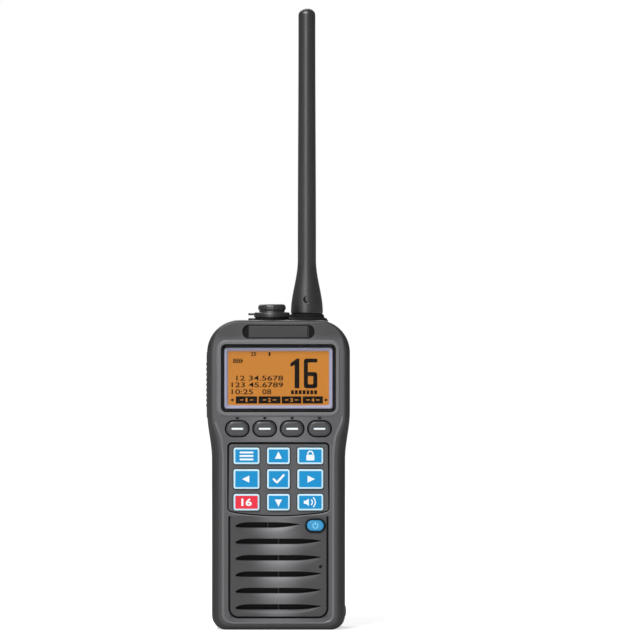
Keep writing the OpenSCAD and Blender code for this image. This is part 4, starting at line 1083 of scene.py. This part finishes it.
class RADIO_OT_battery(bpy.types.Operator):
    """Battery pack: its outline with rounded edges, the lock screw's pocket and a bare field on the back"""
    bl_idname = "radio.battery"
    bl_label = "Battery pack"

    def execute(self, context):
        low, high = span("battery_case")
        ends = [(0, 0.4), (0.06, 0.16), (0.2, 0.04), (0.4, 0)]
        levels = [(low[2] + up, FREE, inset) for up, inset in ends]
        levels += [(z, FREE, 0) for z in np.linspace(low[2] + 1.2, high[2] - 1.2, 34)]
        levels += [(high[2] - up, FREE, inset) for up, inset in ends[::-1]]
        rows = section_rows(levels, low[1])
        window = (3, len(levels) - 4, *FLAT_BACK)
        skin = Skin()
        for end in sections(skin, rows, [window]):
            skin.add(end, np.arange(len(end))[None, :], 0)
        border, place = window_loop(rows, *window), behind(BACK)
        lock = middle("battery_screw")
        pocket = hole(skin, disc(5.3, 0, lock[2], 48), 0.3, 2.5, place=place)
        field = round_rect(42, 36, 3, 0, 56)
        skin.carry(field, rounded(0.2, 0.4), place)
        skin.fill([field(-FLOOR_CUT)], 0.4, place)
        skin.fill([border, pocket, field(0.2 + SUPPORT)], 0, place)
        put(skin, "battery_shell", "band", "battery", "shell_dark", ["battery_case"])
        skin = Skin()
        for side in (-1, 1):
            for i in range(6):
                shape = pill(9, 1.5, side * 15.5, 44 + 4.8 * i)
                skin.carry(shape, [(0, 0.6), (0, 0.25), (-0.1, 0.08), (-0.3, 0)], behind(BACK))
                for grow, depth in ((0, 0.6), (-0.3, 0)):
                    skin.fill([shape(grow)], depth, behind(BACK))
        put(skin, "battery_ribs", "band", "battery", "shell_dark")
        return {"FINISHED"}


class RADIO_OT_badge(bpy.types.Operator):
    """Badge plate: a bare satin plate in its recess"""
    bl_idname = "radio.badge"
    bl_label = "Badge plate"

    def execute(self, context):
        skin = Skin()
        solid(skin, round_rect(26.2, 5.3, 0.5, 0, BADGE_Z), 1.1, 0.12, 0.25)
        put(skin, "badge", "badge", "case", "badge_grey", ["badge_plate"])
        return {"FINISHED"}


# ------------------------------------------------------------------ display

LCD_DEPTH = 2.4


def tri(size, cx, cz, turn):
    """Triangle with its point at the angle turn, in degrees from +x."""
    a = np.radians(turn + np.array([0, 128, 232]))
    return np.stack([cx + size * np.cos(a), cz + size * np.sin(a)], -1)


def box_loop(x0, z0, x1, z1):
    return np.array([[x0, z0], [x1, z0], [x1, z1], [x0, z1]], float)


def arc_line(cx, cz, r, start, end, steps=14):
    a = np.radians(np.linspace(start, end, steps))
    return np.stack([cx + r * np.cos(a), cz + r * np.sin(a)], -1)


def ring_piece(outer, inner, profile):
    """A closed ring: rows of (which outline, growth, depth), the last joined to the first."""
    skin = Skin()
    rows = [on_face((outer if side == "out" else inner)(grow), depth) for side, grow, depth in profile]
    skin.grid(np.stack(rows + rows[:1]), wrap=True)
    return skin


class RADIO_OT_display(bpy.types.Operator):
    """Display: violet frame, amber panel with plain numbers and tabs, and the window with its black border"""
    bl_idname = "radio.display"
    bl_label = "Display"

    def execute(self, context):
        z = WINDOW_Z
        outer, inner = round_rect(48.1, 27.3, 1.1, 0, z), round_rect(44.9, 24.1, 0.6, 0, z)
        frame_ring = ring_piece(outer, inner, [("out", 0, 2.36), ("out", 0, 1.55), ("out", -0.08, 1.46),
                                               ("out", -0.2, 1.43), ("in", 0.85, 1.43), ("in", 0.72, 1.48),
                                               ("in", 0.08, 2.2), ("in", 0, 2.36)])
        put(frame_ring, "display_frame", "bezel", "case", "bezel_violet", ["display_bezel"])
        skin = Skin()
        solid(skin, round_rect(47.2, 26.2, 0.3, 0, z), LCD_DEPTH + 1.9, LCD_DEPTH, 0.05, cut=0.1)
        put(skin, "display_glow", "amber", "case", "display_amber", ["display_panel"])
        self.print_on(z)
        skin = Skin()
        solid(skin, round_rect(LENS_W - 0.2, LENS_H - 0.2, 2.1, 0, z), 1.2, 0.0, 0.25)
        put(skin, "window", "window", "case", "window_glass", ["window_lens"])
        skin = Skin()
        edges = round_rect(LENS_W - 0.25, LENS_H - 0.25, 2.1, 0, z), round_rect(48.3, 27.1, 1.2, 0, z)
        plate(skin, [edge(0) for edge in edges], 1.34, 1.24)
        put(skin, "window_border", "black_print", "case", "window_glass")
        return {"FINISHED"}

    def print_on(self, z):
        """Dark figures on the panel: channel number, three plain lines, level meter, tabs, small marks."""
        skin = Skin()
        face = LCD_DEPTH - 0.005
        one = np.array([[7.2, 107.6], [9.3, 107.6], [9.3, 120.8], [8.1, 120.8], [5.3, 118.7], [5.3, 117.5],
                        [5.9, 117.3], [7.2, 118.1]])
        six = np.array([[12.3, 107.6], [16.3, 107.6], [17.0, 107.9], [17.3, 108.6], [17.3, 113.8],
                        [17.0, 114.5], [16.3, 114.8], [13.1, 114.8], [13.1, 119.1], [17.0, 119.1],
                        [17.3, 119.4], [17.3, 120.5], [17.0, 120.8], [12.3, 120.8], [11.6, 120.5],
                        [11.3, 119.8], [11.3, 108.6], [11.6, 107.9]])
        plate(skin, [one], face, face - PRINT)
        plate(skin, [six, round_rect(2.4, 3.7, 0.45, 14.3, 111.2, 3)(0)], face, face - PRINT)
        lines = [("12 34.5678", 111.0, -18.8, 20.9), ("123 45.6789", 108.0, -20.9, 23.0),
                 ("10:25", 104.9, -20.9, 9.6), ("08", 104.9, -7.2, 4.0)]
        for words, foot, left, width in lines:
            add_text(skin, words, 2.25, left, foot, face, width=width, bold=0.012)
        for i in range(7):
            plate(skin, [box_loop(5.6 + 1.72 * i, 104.95, 6.85 + 1.72 * i, 106.7)], face, face - PRINT)
        for words, left, width in (("25", -12.4, 2.5), ("1", -4.4, 0.8)):
            add_text(skin, words, 1.7, left, 122.0, face, width=width, bold=0.02)
        cell = [box_loop(-20.2, 118.9, -16.4, 120.7), box_loop(-19.9, 119.2, -16.7, 120.4)]
        plate(skin, cell, face, face - PRINT)
        plate(skin, [box_loop(-16.38, 119.4, -15.9, 120.2)], face, face - PRINT)
        for i in range(3):
            plate(skin, [box_loop(-19.7 + i, 119.4, -19.0 + i, 120.2)], face, face - PRINT)
        tabs = [(-19.0, -9.5), (-8.9, 0.9), (1.4, 10.2), (10.8, 19.8)]
        for x0, x1 in tabs:
            plate(skin, [box_loop(x0, 100.8, x1, 104.0)], face, face - PRINT)
        for size, x, turn in ((0.95, -20.6, 180), (0.95, 21.2, 0)):
            plate(skin, [tri(size, x, 102.4, turn)], face, face - PRINT)
        for i, (x0, x1) in enumerate(tabs):
            width = 0.75 if i == 0 else 1.2
            add_text(skin, str(i + 1), 1.75, (x0 + x1) / 2, 101.5, face - 0.035, width=width, bold=0.02,
                     centred=True, finish=1)
            for side in (-1, 1):
                x = (x0 + x1) / 2 + side * 2.2
                plate(skin, [box_loop(x - 0.75, 102.2, x + 0.75, 102.6)], face - 0.035, face - 0.06, finish=1)
        put(skin, "display_print", "ink amber", "case", "display_amber", weld=1e-7)


# ------------------------------------------------------------------ keys

KEY_BACK = 2.8


class RADIO_OT_soft_keys(bpy.types.Operator):
    """Soft keys: four dark pills with a white bar, and the small raised pointers over them"""
    bl_idname = "radio.soft_keys"
    bl_label = "Soft keys"

    def execute(self, context):
        for key in SOFT_KEYS:
            w, h, x, z = head_of(key)
            top = span(key)[0][1] - FACE
            skin = Skin()
            solid(skin, pill(w, h, x, z), KEY_BACK, top, 1.15)
            plate(skin, [pill(5.2, 0.8, x, z)(0)], top + PRINT, top - PRINT_SINK, finish=1)
            put(skin, key + "_top", "soft_key pale", key + "_body", "soft_key_grey", [key])
        skin = Skin()
        for key in SOFT_KEYS:
            w, h, x, z = head_of(key)
            solid(skin, pill(1.5, 0.85, x, z + h / 2 + 1.35, 4), 0.3, -0.3, 0.25, finish=0, cut=0.05)
        put(skin, "pointer_marks", "pit", "case", "shell_grey")
        return {"FINISHED"}


def key_icon(skin, key, x, z, depth):
    """A plain mark for each key: bars, arrows, a tick, a padlock, a number or a loudspeaker."""
    def flat(*loops):
        plate(skin, list(loops), depth + PRINT, depth - PRINT_SINK, finish=2)

    def stroke(line, width):
        flat(ribbon(np.asarray(line, float), width)(0))

    if key == "key_menu":
        for i in (-1, 0, 1):
            flat(pill(6.2, 0.8, x, z + 1.55 * i, 5)(0))
    elif key == "key_clear":
        flat(round_rect(3.6, 2.5, 0.3, x, z - 0.75, 3)(0))
        bow = arc_line(x, z + 0.95, 1.15, 0, 180)
        stroke(np.concatenate([[[x + 1.15, z + 0.5]], bow, [[x - 1.15, z + 0.5]]]), 0.55)
    elif key == "key_ok":
        line = np.array([[-2.1, 0.15], [-1.4, -0.6], [-0.7, -1.35], [0.3, -0.25], [1.3, 0.85], [2.3, 1.95]])
        stroke(line + [x, z - 0.2], 0.95)
    elif key == "key_16":
        add_text(skin, "16", 3.4, x, z - 1.7, depth, finish=2, width=4.6, bold=0.03, centred=True)
    elif key == "key_volume":
        horn = np.array([[-2.9, -0.7], [-1.9, -0.7], [-0.7, -1.7], [-0.7, 1.7], [-1.9, 0.7], [-2.9, 0.7]])
        flat(horn + [x, z])
        stroke(arc_line(x - 0.6, z, 1.5, -45, 45), 0.5)
        stroke(arc_line(x - 0.6, z, 2.8, -45, 45), 0.5)
    else:
        turn = {"key_up": 90, "key_left": 180, "key_right": 0, "key_down": -90}[key]
        flat(tri(2.0, x, z, turn))


class RADIO_OT_keypad(bpy.types.Operator):
    """Keypad: nine silicone keys, each with a pale border round its top and a plain mark"""
    bl_idname = "radio.keypad"
    bl_label = "Keypad"

    def execute(self, context):
        border = sizes()["key_border"]
        for key in PAD_KEYS:
            w, h, x, z = head_of(key)
            shape = round_rect(w, h, 1.0, x, z)
            top = span(key)[0][1] - FACE
            r = 0.3
            turn = np.radians([0, 22, 45, 67, 90])
            bend = [(-r + r * math.cos(a), top + r - r * math.sin(a)) for a in turn]
            profile = [(-0.3, KEY_BACK), (0, KEY_BACK - 0.3)] + bend
            profile += [(-0.5 * border - r, top), (-border - r + 0.1, top)]
            skin = Skin()
            # sides and back take the darker, painted-shade copy of the key's colour
            skin.carry(shape, profile, finish=[1, 1, 3, 3, 3, 3, 3, 3])
            skin.fill([shape(-0.3)], KEY_BACK, finish=1)
            skin.fill([shape(-border - r + 0.1)], top)
            key_icon(skin, key, x, z, top)
            colour, slot = ("red", "key_red") if key == "key_16" else ("blue", "key_blue")
            put(skin, key + "_top", f"{colour} {colour}_deep pale border", key + "_body", slot, [key])
        return {"FINISHED"}


class RADIO_OT_power_key(bpy.types.Operator):
    """Power key: a blue pill with its mark, in a dark oval ring"""
    bl_idname = "radio.power_key"
    bl_label = "Power key"

    def execute(self, context):
        w, h, x, z = head_of("power_key")
        top = span("power_key")[0][1] - FACE
        skin = Skin()
        solid(skin, pill(w, h, x, z), KEY_BACK, top, 0.7)
        for line in (arc_line(x, z, 1.15, 125, 415), np.array([[x, z + 0.3], [x, z + 0.8], [x, z + 1.45]])):
            plate(skin, [ribbon(line, 0.35)(0)], top + PRINT, top - PRINT_SINK, finish=1)
        put(skin, "power_key_top", "power power_print", "power_key_body", "power_blue", ["power_key"])
        low, high = span("power_key_ring")
        outer, inner = pill(high[0] - low[0], high[2] - low[2], x, z), pill(w + 0.5, h + 0.5, x, z)
        rise = low[1] - FACE
        ring = ring_piece(outer, inner, [("out", 0, 1.3), ("out", 0, rise + 0.2), ("out", -0.08, rise + 0.06),
                                         ("out", -0.22, rise), ("in", 0.16, rise), ("in", 0.05, rise + 0.08),
                                         ("in", 0, rise + 0.25), ("in", 0, 1.3)])
        put(ring, "power_ring", "black_print", "case", "black_plastic", ["power_key_ring"])
        x, z = middle("mic_boot")[[0, 2]]
        skin = Skin()
        r = np.array([0, 0.4, 0.66, 0.72, 0.78, 0.88, 0.98, 1.02, 0])
        y = np.array([-0.02, -0.02, -0.03, -0.08, -0.11, -0.1, -0.05, 0.1, 0.1])
        a = whole_turn(24)
        points = np.stack([x + r[:, None] * np.cos(a), z + r[:, None] * np.sin(a)], -1)
        # the port's centre is painted near-black as shade in its hole
        skin.grid(on_face(points, y[:, None]), finish=[1, 1, 1, 0, 0, 0, 0, 0], wrap=True)
        put(skin, "mic_port", "shell pit", "case", "silicone")
        return {"FINISHED"}


# ------------------------------------------------------------------ top of the radio

class RADIO_OT_antenna(bpy.types.Operator):
    """Antenna: its sleeve is half a cosine wave in radius, with grooves at the foot and a sunk crescent mark,
    both in a darker rubber as painted shade
    """
    bl_idname = "radio.antenna"
    bl_label = "Antenna"

    def execute(self, context):
        low, high = span("antenna_sheath")
        x, y = middle("antenna_sheath")[:2]
        foot, tip = low[2], high[2]
        whip, sleeve, rise = 4.1, 7.2, 24.0
        rises = [np.linspace(0, 3, 7), np.arange(3.25, 10, 0.15), np.linspace(10.3, rise, 20)]
        zs = foot + 1.7 + np.concatenate(rises)
        body = whip + (sleeve - whip) * (1 + np.cos(np.pi * (zs - foot - 1.7) / rise)) / 2
        upper = np.linspace(foot + 30, tip - 4.5, 24)
        skirt = [(0, 0), (7.55, 0), (7.68, 0.06), (7.7, 0.2), (7.66, 0.6), (7.5, 0.95), (7.3, 1.1),
                 (6.95, 1.14), (6.9, 1.25), (6.92, 1.45), (7.14, 1.55)]
        skirt = [(reach, foot + up) for reach, up in skirt]
        r_tip = whip - 0.3
        slim = whip - 0.3 * smooth((upper - foot - 30) / 100)
        bend = np.radians(np.linspace(0, 88, 9))
        dome = [(r_tip * math.cos(a), tip - 0.8 * r_tip * (1 - math.sin(a))) for a in bend]
        profile = skirt + list(zip(body, zs)) + list(zip(slim, upper)) + dome + [(0, tip)]
        profile = np.array(profile)
        a = whole_turn(192)
        r, z = profile[:, :1], profile[:, 1:]
        u, v = r * np.cos(a), z - (foot + 7.6)
        front = np.sin(a) < 0
        moon = smooth((1.75 - np.hypot(u + 0.1, v)) / 0.45)
        moon = moon * smooth((np.hypot(u - 0.85, v - 0.35) - 1.45) / 0.4)
        r = r - 0.32 * moon * front * (r > 3)
        skin = Skin()
        # skirt grooves and the crescent dimple get the darker matt rubber as painted shade
        dark = (moon * front * (r > 3) > 0.45)[1:]
        dark[:len(skirt) - 1] = True
        skin.grid(lathe(x, y, r, z, a), dark.astype(int), wrap=True)
        put(skin, "antenna_skin", "rubber matt", "antenna", "antenna_rubber", ["antenna_sheath"], angle=50)
        base = span("antenna_seat")[0][2]
        top = foot + 0.01
        seat = [(6.6, 0), (9.12, 0), (9.2, 0.1), (9.16, 0.5), (8.98, 0.72), (8.2, 0.95), (7.98, 1.1)]
        seat = [(reach, base + up) for reach, up in seat]
        seat += [(7.9, top - 0.05), (7.84, top), (6.6, top), (6.6, base)]
        put(turned(seat, (x, y), 96), "antenna_ring", "matt", "case", "antenna_rubber", ["antenna_seat"],
            angle=50)
        return {"FINISHED"}


class RADIO_OT_jack_cap(bpy.types.Operator):
    """Jack cap: fluted grip with a coin slot, flange and finger tab"""
    bl_idname = "radio.jack_cap"
    bl_label = "Jack cap"

    def execute(self, context):
        x, y = middle("accessory_jack")[:2]
        top = span("jack_cap")[1][2]
        base = top - 6.0
        fl, grip = 8.0, 6.2
        foot, stem = span("jack_cap")[0][2], 4.0
        flange = [(0.2, 0), (0.05, 0.1), (0, 0.35), (0, 1.7), (0.15, 2.1), (0.5, 2.35), (0.9, 2.4)]
        knob = [(0.4, 2.4), (0.5, 2.55), (0.5, 3.2), (0.35, 3.45), (0, 3.6), (0, 4.6), (0.1, 5.1),
                (0.45, 5.6), (0.95, 5.9), (1.4, 6.0), (1.55, 6.0)]
        profile = [(0, foot), (stem - 0.3, foot), (stem, foot + 0.3), (stem, base)]
        profile += [(fl - inset, base + up) for inset, up in flange]
        profile += [(grip - inset, base + up) for inset, up in knob]
        profile = np.array(profile)
        a = whole_turn(144)
        r, z = profile[:, :1], profile[:, 1:]
        fluted = (z > base + 3.5) & (z < base + 5.3)
        r = r - 0.08 * fluted * (0.5 + 0.5 * np.cos(24 * a)) ** 2
        skin = Skin()
        skin.grid(lathe(x, y, r, z, a), wrap=True)

        def place(points, depth):
            points = np.asarray(points, float)
            return np.stack([x + points[..., 0], y + points[..., 1],
                             top - np.broadcast_to(depth, points.shape[:-1])], -1)

        rim = np.stack([(grip - 1.55) * np.cos(a), (grip - 1.55) * np.sin(a)], -1)
        skin.fill([rim, hole(skin, round_rect(3.0, 7.4, 0.5), 0.15, 0.9, place=place)], 0, place)
        reach = x - span("jack_cap")[0][0]
        solid(skin, round_rect(7, 3.6, 1.2, 3.5 - reach, 0), 5.0, 4.0, 0.25, place=place, cut=0.25)
        put(skin, "cap_grip", "rubber", "cap", "black_rubber", ["jack_cap"], angle=40)
        bevelled_copy("jack_seat", "jack_gasket", 0.15, "case", "black_plastic", "matt")
        rise = base + 0.01
        lip = [(6.3, 138.6), (7.5, 138.6), (7.55, 138.9), (7.5, rise), (6.3, rise), (6.3, 138.6)]
        self.jack_face(x, y)
        put(turned(lip, (x, y), 72), "gasket_lip", "matt", "case", "black_plastic")
        return {"FINISHED"}

    def jack_face(self, x, y):
        """What shows under the cap: the jack's black rim, its floor painted near-black as shade, and four
        plated contacts.
        """
        rim = [(4.7, BODY_TOP - 1), (6.15, BODY_TOP - 1), (6.15, BODY_TOP + 0.22), (6.0, BODY_TOP + 0.32),
               (4.9, BODY_TOP + 0.32), (4.7, BODY_TOP + 0.1), (4.7, BODY_TOP - 1)]
        skin = turned(rim, (x, y), 64)
        floor = [(0, BODY_TOP - 0.5), (4.7, BODY_TOP - 0.5), (4.7, BODY_TOP + 0.03), (0, BODY_TOP + 0.03)]
        turned(floor, (x, y), 64, 1, skin)
        contact = [(0, 0), (0.45, 0), (0.45, 0.2), (0.3, 0.3), (0, 0.3)]
        contact = [(reach, BODY_TOP + up) for reach, up in contact]
        for a in np.radians([45, 135, 225, 315]):
            pin = (x + 1.5 * math.cos(a), y + 1.5 * math.sin(a))
            turned(contact, pin, 16, 2, skin)
        put(skin, "jack_face", "rubber pit brass", "case", "black_plastic")


def bevelled_copy(node, name, width, body, slot, look, segments=3):
    """The CAD node's own form, merged, with its sharp edges rounded by width mm."""
    mesh = bpy.data.meshes.new(name)
    bm = bmesh.new()
    bm.from_mesh(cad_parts[node].data)
    bmesh.ops.remove_doubles(bm, verts=bm.verts, dist=WELD)
    bmesh.ops.dissolve_limit(bm, angle_limit=math.radians(1), verts=bm.verts, edges=bm.edges)
    bmesh.ops.recalc_face_normals(bm, faces=bm.faces)
    bm.to_mesh(mesh)
    bm.free()
    mesh.materials.append(finish(look))
    mesh.polygons.foreach_set("use_smooth", np.ones(len(mesh.polygons), bool))
    mesh.set_sharp_from_angle(angle=math.radians(30))
    piece = link(name, mesh, body, slot, [node])
    bevel = piece.modifiers.new("rounded", "BEVEL")
    bevel.width = width * MM
    bevel.segments = segments
    bevel.limit_method = "ANGLE"
    bevel.angle_limit = math.radians(30)
    bevel.harden_normals = True
    return piece


# ------------------------------------------------------------------ side and back

class RADIO_OT_talk_key(bpy.types.Operator):
    """Push-to-talk key: a rubber pad in its well on the left side, with finger ridges"""
    bl_idname = "radio.talk_key"
    bl_label = "Push-to-talk key"

    def execute(self, context):
        low, high = span("ptt_button")
        mid = middle("ptt_button")

        def place(points, depth):
            points = np.asarray(points, float)
            return np.stack([-BODY_HALF + np.broadcast_to(depth, points.shape[:-1]), points[..., 0],
                             points[..., 1]], -1)

        skin = Skin()
        shape = round_rect(TALK_W, high[2] - low[2] - 1.8, 4.0, mid[1], mid[2])
        solid(skin, shape, 1.75, -0.25, 0.6, place=place)
        for i in range(-4, 5):
            rib = pill(6.4, 1.1, mid[1], mid[2] + 2.3 * i)
            profile = [(0.05, -0.15), (0, -0.25), (-0.08, -0.4), (-0.22, -0.48), (-0.34, -0.5)]
            skin.carry(rib, profile, place)
            skin.fill([rib(-0.34)], -0.5, place)
            skin.fill([rib(0.05)], -0.15, place)
        put(skin, "talk_pad", "rubber", "ptt", "black_rubber", ["ptt_button"])
        return {"FINISHED"}


class RADIO_OT_belt_clip(bpy.types.Operator):
    """Belt clip, its base and the lock screw: the CAD's forms with rounded edges, and thumb ridges"""
    bl_idname = "radio.belt_clip"
    bl_label = "Belt clip"

    def execute(self, context):
        bevelled_copy("clip_base", "clip_mount", 0.3, "battery", "clip_plastic", "clip")
        bevelled_copy("belt_clip", "clip_lever", 0.35, "clip", "clip_plastic", "clip")
        bevelled_copy("battery_screw", "lock_screw", 0.2, "lock", "stainless", "steel")
        high = span("belt_clip")[1]
        skin = Skin()
        for i in range(5):
            ridge = pill(14, 0.9, 0, high[2] - 2.6 - 1.7 * i, 5)
            solid(skin, ridge, 0.3, 0, 0.25, place=behind(high[1]), cut=0.05)
        put(skin, "thumb_ridges", "clip", "clip", "clip_plastic")
        return {"FINISHED"}


class RADIO_OT_inner_parts(bpy.types.Operator):
    """Inner parts: each CAD node that stays gets its own finish"""
    bl_idname = "radio.inner_parts"
    bl_label = "Inner parts"

    LOOKS = {
        "rubber": "case_gasket keypad_mat mic_boot battery_seal", "seal_red": "cap_seal",
        "white": "display_holder", "board": "main_board key_board",
        "tin": "shield_can chassis_plate mic_capsule",
        "steel": "speaker_basket case_screws clip_screws clip_pin", "magnet": "speaker_magnet",
        "paper": "speaker_cone speaker_membrane", "ceramic": "position_patch",
        "brass": "antenna_bush antenna_core antenna_plug battery_contacts battery_pads",
        "clip": "accessory_jack ptt_switch", "wire": "clip_spring", "sleeve": "battery_cells"}

    def execute(self, context):
        for look, nodes in self.LOOKS.items():
            for node in nodes.split():
                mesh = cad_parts[node].data
                mesh.materials.clear()
                mesh.materials.append(finish(look))
        return {"FINISHED"}


# ------------------------------------------------------------------ stage

def soft_light(name, place, aim, size, power):
    data = bpy.data.lights.new(name, "AREA")
    data.shape = "RECTANGLE"
    data.size, data.size_y = size
    data.energy = power
    lamp = bpy.data.objects.new(name, data)
    lamp.location = place
    lamp.rotation_euler = (Vector(aim) - Vector(place)).to_track_quat("-Z", "Y").to_euler()
    bpy.context.scene.collection.objects.link(lamp)


def white_to_the_eye(nodes, links, plain, strength):
    """A strength for rays from the camera, and a plain level for the rest."""
    path = nodes.new("ShaderNodeLightPath")
    level = nodes.new("ShaderNodeMapRange")
    level.inputs["To Min"].default_value = plain
    level.inputs["To Max"].default_value = strength
    links.new(path.outputs["Is Camera Ray"], level.inputs["Value"])
    return level.outputs["Result"]


class RADIO_OT_stage(bpy.types.Operator):
    """Stage: pale floor, soft studio light and the camera straight in front"""
    bl_idname = "radio.stage"
    bl_label = "Stage"

    def execute(self, context):
        scene = bpy.context.scene
        scene.view_settings.view_transform = "Standard"
        world = bpy.data.worlds.new("studio")
        world.use_nodes = True
        scene.world = world
        nodes, links = world.node_tree.nodes, world.node_tree.links
        nodes["Background"].inputs["Color"].default_value = (1, 1, 1, 1)
        links.new(white_to_the_eye(nodes, links, 0.2, 1.0), nodes["Background"].inputs["Strength"])
        mesh = bpy.data.meshes.new("floor")
        mesh.from_pydata([(-30, -30, 0), (30, -30, 0), (30, 30, 0), (-30, 30, 0)], [], [(0, 1, 2, 3)])
        floor = bpy.data.objects.new("floor", mesh)
        scene.collection.objects.link(floor)
        pale = bpy.data.materials.new("pale_floor")
        pale.use_nodes = True
        nodes, links = pale.node_tree.nodes, pale.node_tree.links
        shader = nodes["Principled BSDF"]
        shader.inputs["Base Color"].default_value = (0.8, 0.8, 0.8, 1)
        shader.inputs["Roughness"].default_value = 0.9
        shader.inputs["Specular IOR Level"].default_value = 0.0
        shader.inputs["Emission Color"].default_value = (1, 1, 1, 1)
        place = nodes.new("ShaderNodeTexCoord")
        far = nodes.new("ShaderNodeVectorMath")
        far.operation = "LENGTH"
        links.new(place.outputs["Object"], far.inputs[0])
        glow = nodes.new("ShaderNodeMapRange")
        glow.inputs["From Min"].default_value = 0.2
        glow.inputs["From Max"].default_value = 2.5
        glow.inputs["To Min"].default_value = 0.62
        glow.inputs["To Max"].default_value = 0.88
        links.new(far.outputs["Value"], glow.inputs["Value"])
        both = nodes.new("ShaderNodeMath")
        both.operation = "MULTIPLY"
        links.new(glow.outputs["Result"], both.inputs[0])
        links.new(white_to_the_eye(nodes, links, 0.0, 1.0), both.inputs[1])
        links.new(both.outputs[0], shader.inputs["Emission Strength"])
        mesh.materials.append(pale)
        aim = (0, 0, 0.11)
        soft_light("key_light", (-0.5, -1.1, 1.7), aim, (0.6, 0.4), 36)
        soft_light("fill_light", (-0.5, -2.05, 0.35), aim, (0.3, 1.2), 11)
        soft_light("rim_light", (-0.3, 1.3, 1.1), aim, (1.2, 0.6), 12)
        data = bpy.data.cameras.new("camera")
        data.sensor_width = 36
        data.lens = 316
        data.clip_end = 200
        camera = bpy.data.objects.new("camera", data)
        camera.location = (0.0176, -2.519, 0.138)
        camera.rotation_euler = (math.radians(90), 0, 0)
        scene.collection.objects.link(camera)
        scene.camera = camera
        return {"FINISHED"}


STEPS = [RADIO_OT_front_shell, RADIO_OT_rear_shell, RADIO_OT_battery, RADIO_OT_badge, RADIO_OT_display,
         RADIO_OT_soft_keys, RADIO_OT_keypad, RADIO_OT_power_key, RADIO_OT_antenna, RADIO_OT_jack_cap,
         RADIO_OT_talk_key, RADIO_OT_belt_clip, RADIO_OT_inner_parts, RADIO_OT_stage]


class RADIO_PT_pieces(bpy.types.Panel):
    """Buttons for the pieces, and their sizes and colours"""
    bl_label = "Marine radio"
    bl_idname = "RADIO_PT_pieces"
    bl_space_type = "VIEW_3D"
    bl_region_type = "UI"
    bl_category = "Radio"

    def draw(self, context):
        for step in STEPS:
            self.layout.operator(step.bl_idname, text=step.bl_label)
        scene = context.scene
        for group, kind in ((scene.radio_sizes, RadioSizes), (scene.radio_colours, RadioColours)):
            for name in kind.__annotations__:
                self.layout.prop(group, name)


CLASSES = [RadioSizes, RadioColours, *STEPS, RADIO_PT_pieces]


def register():
    for made in CLASSES:
        bpy.utils.register_class(made)
    bpy.types.Scene.radio_sizes = bpy.props.PointerProperty(type=RadioSizes)
    bpy.types.Scene.radio_colours = bpy.props.PointerProperty(type=RadioColours)


def unregister():
    del bpy.types.Scene.radio_colours
    del bpy.types.Scene.radio_sizes
    for made in reversed(CLASSES):
        bpy.utils.unregister_class(made)


def main():
    register()
    for step in STEPS:
        getattr(bpy.ops.radio, step.bl_idname.split(".")[1])()


if __name__ == "__main__":
    main()
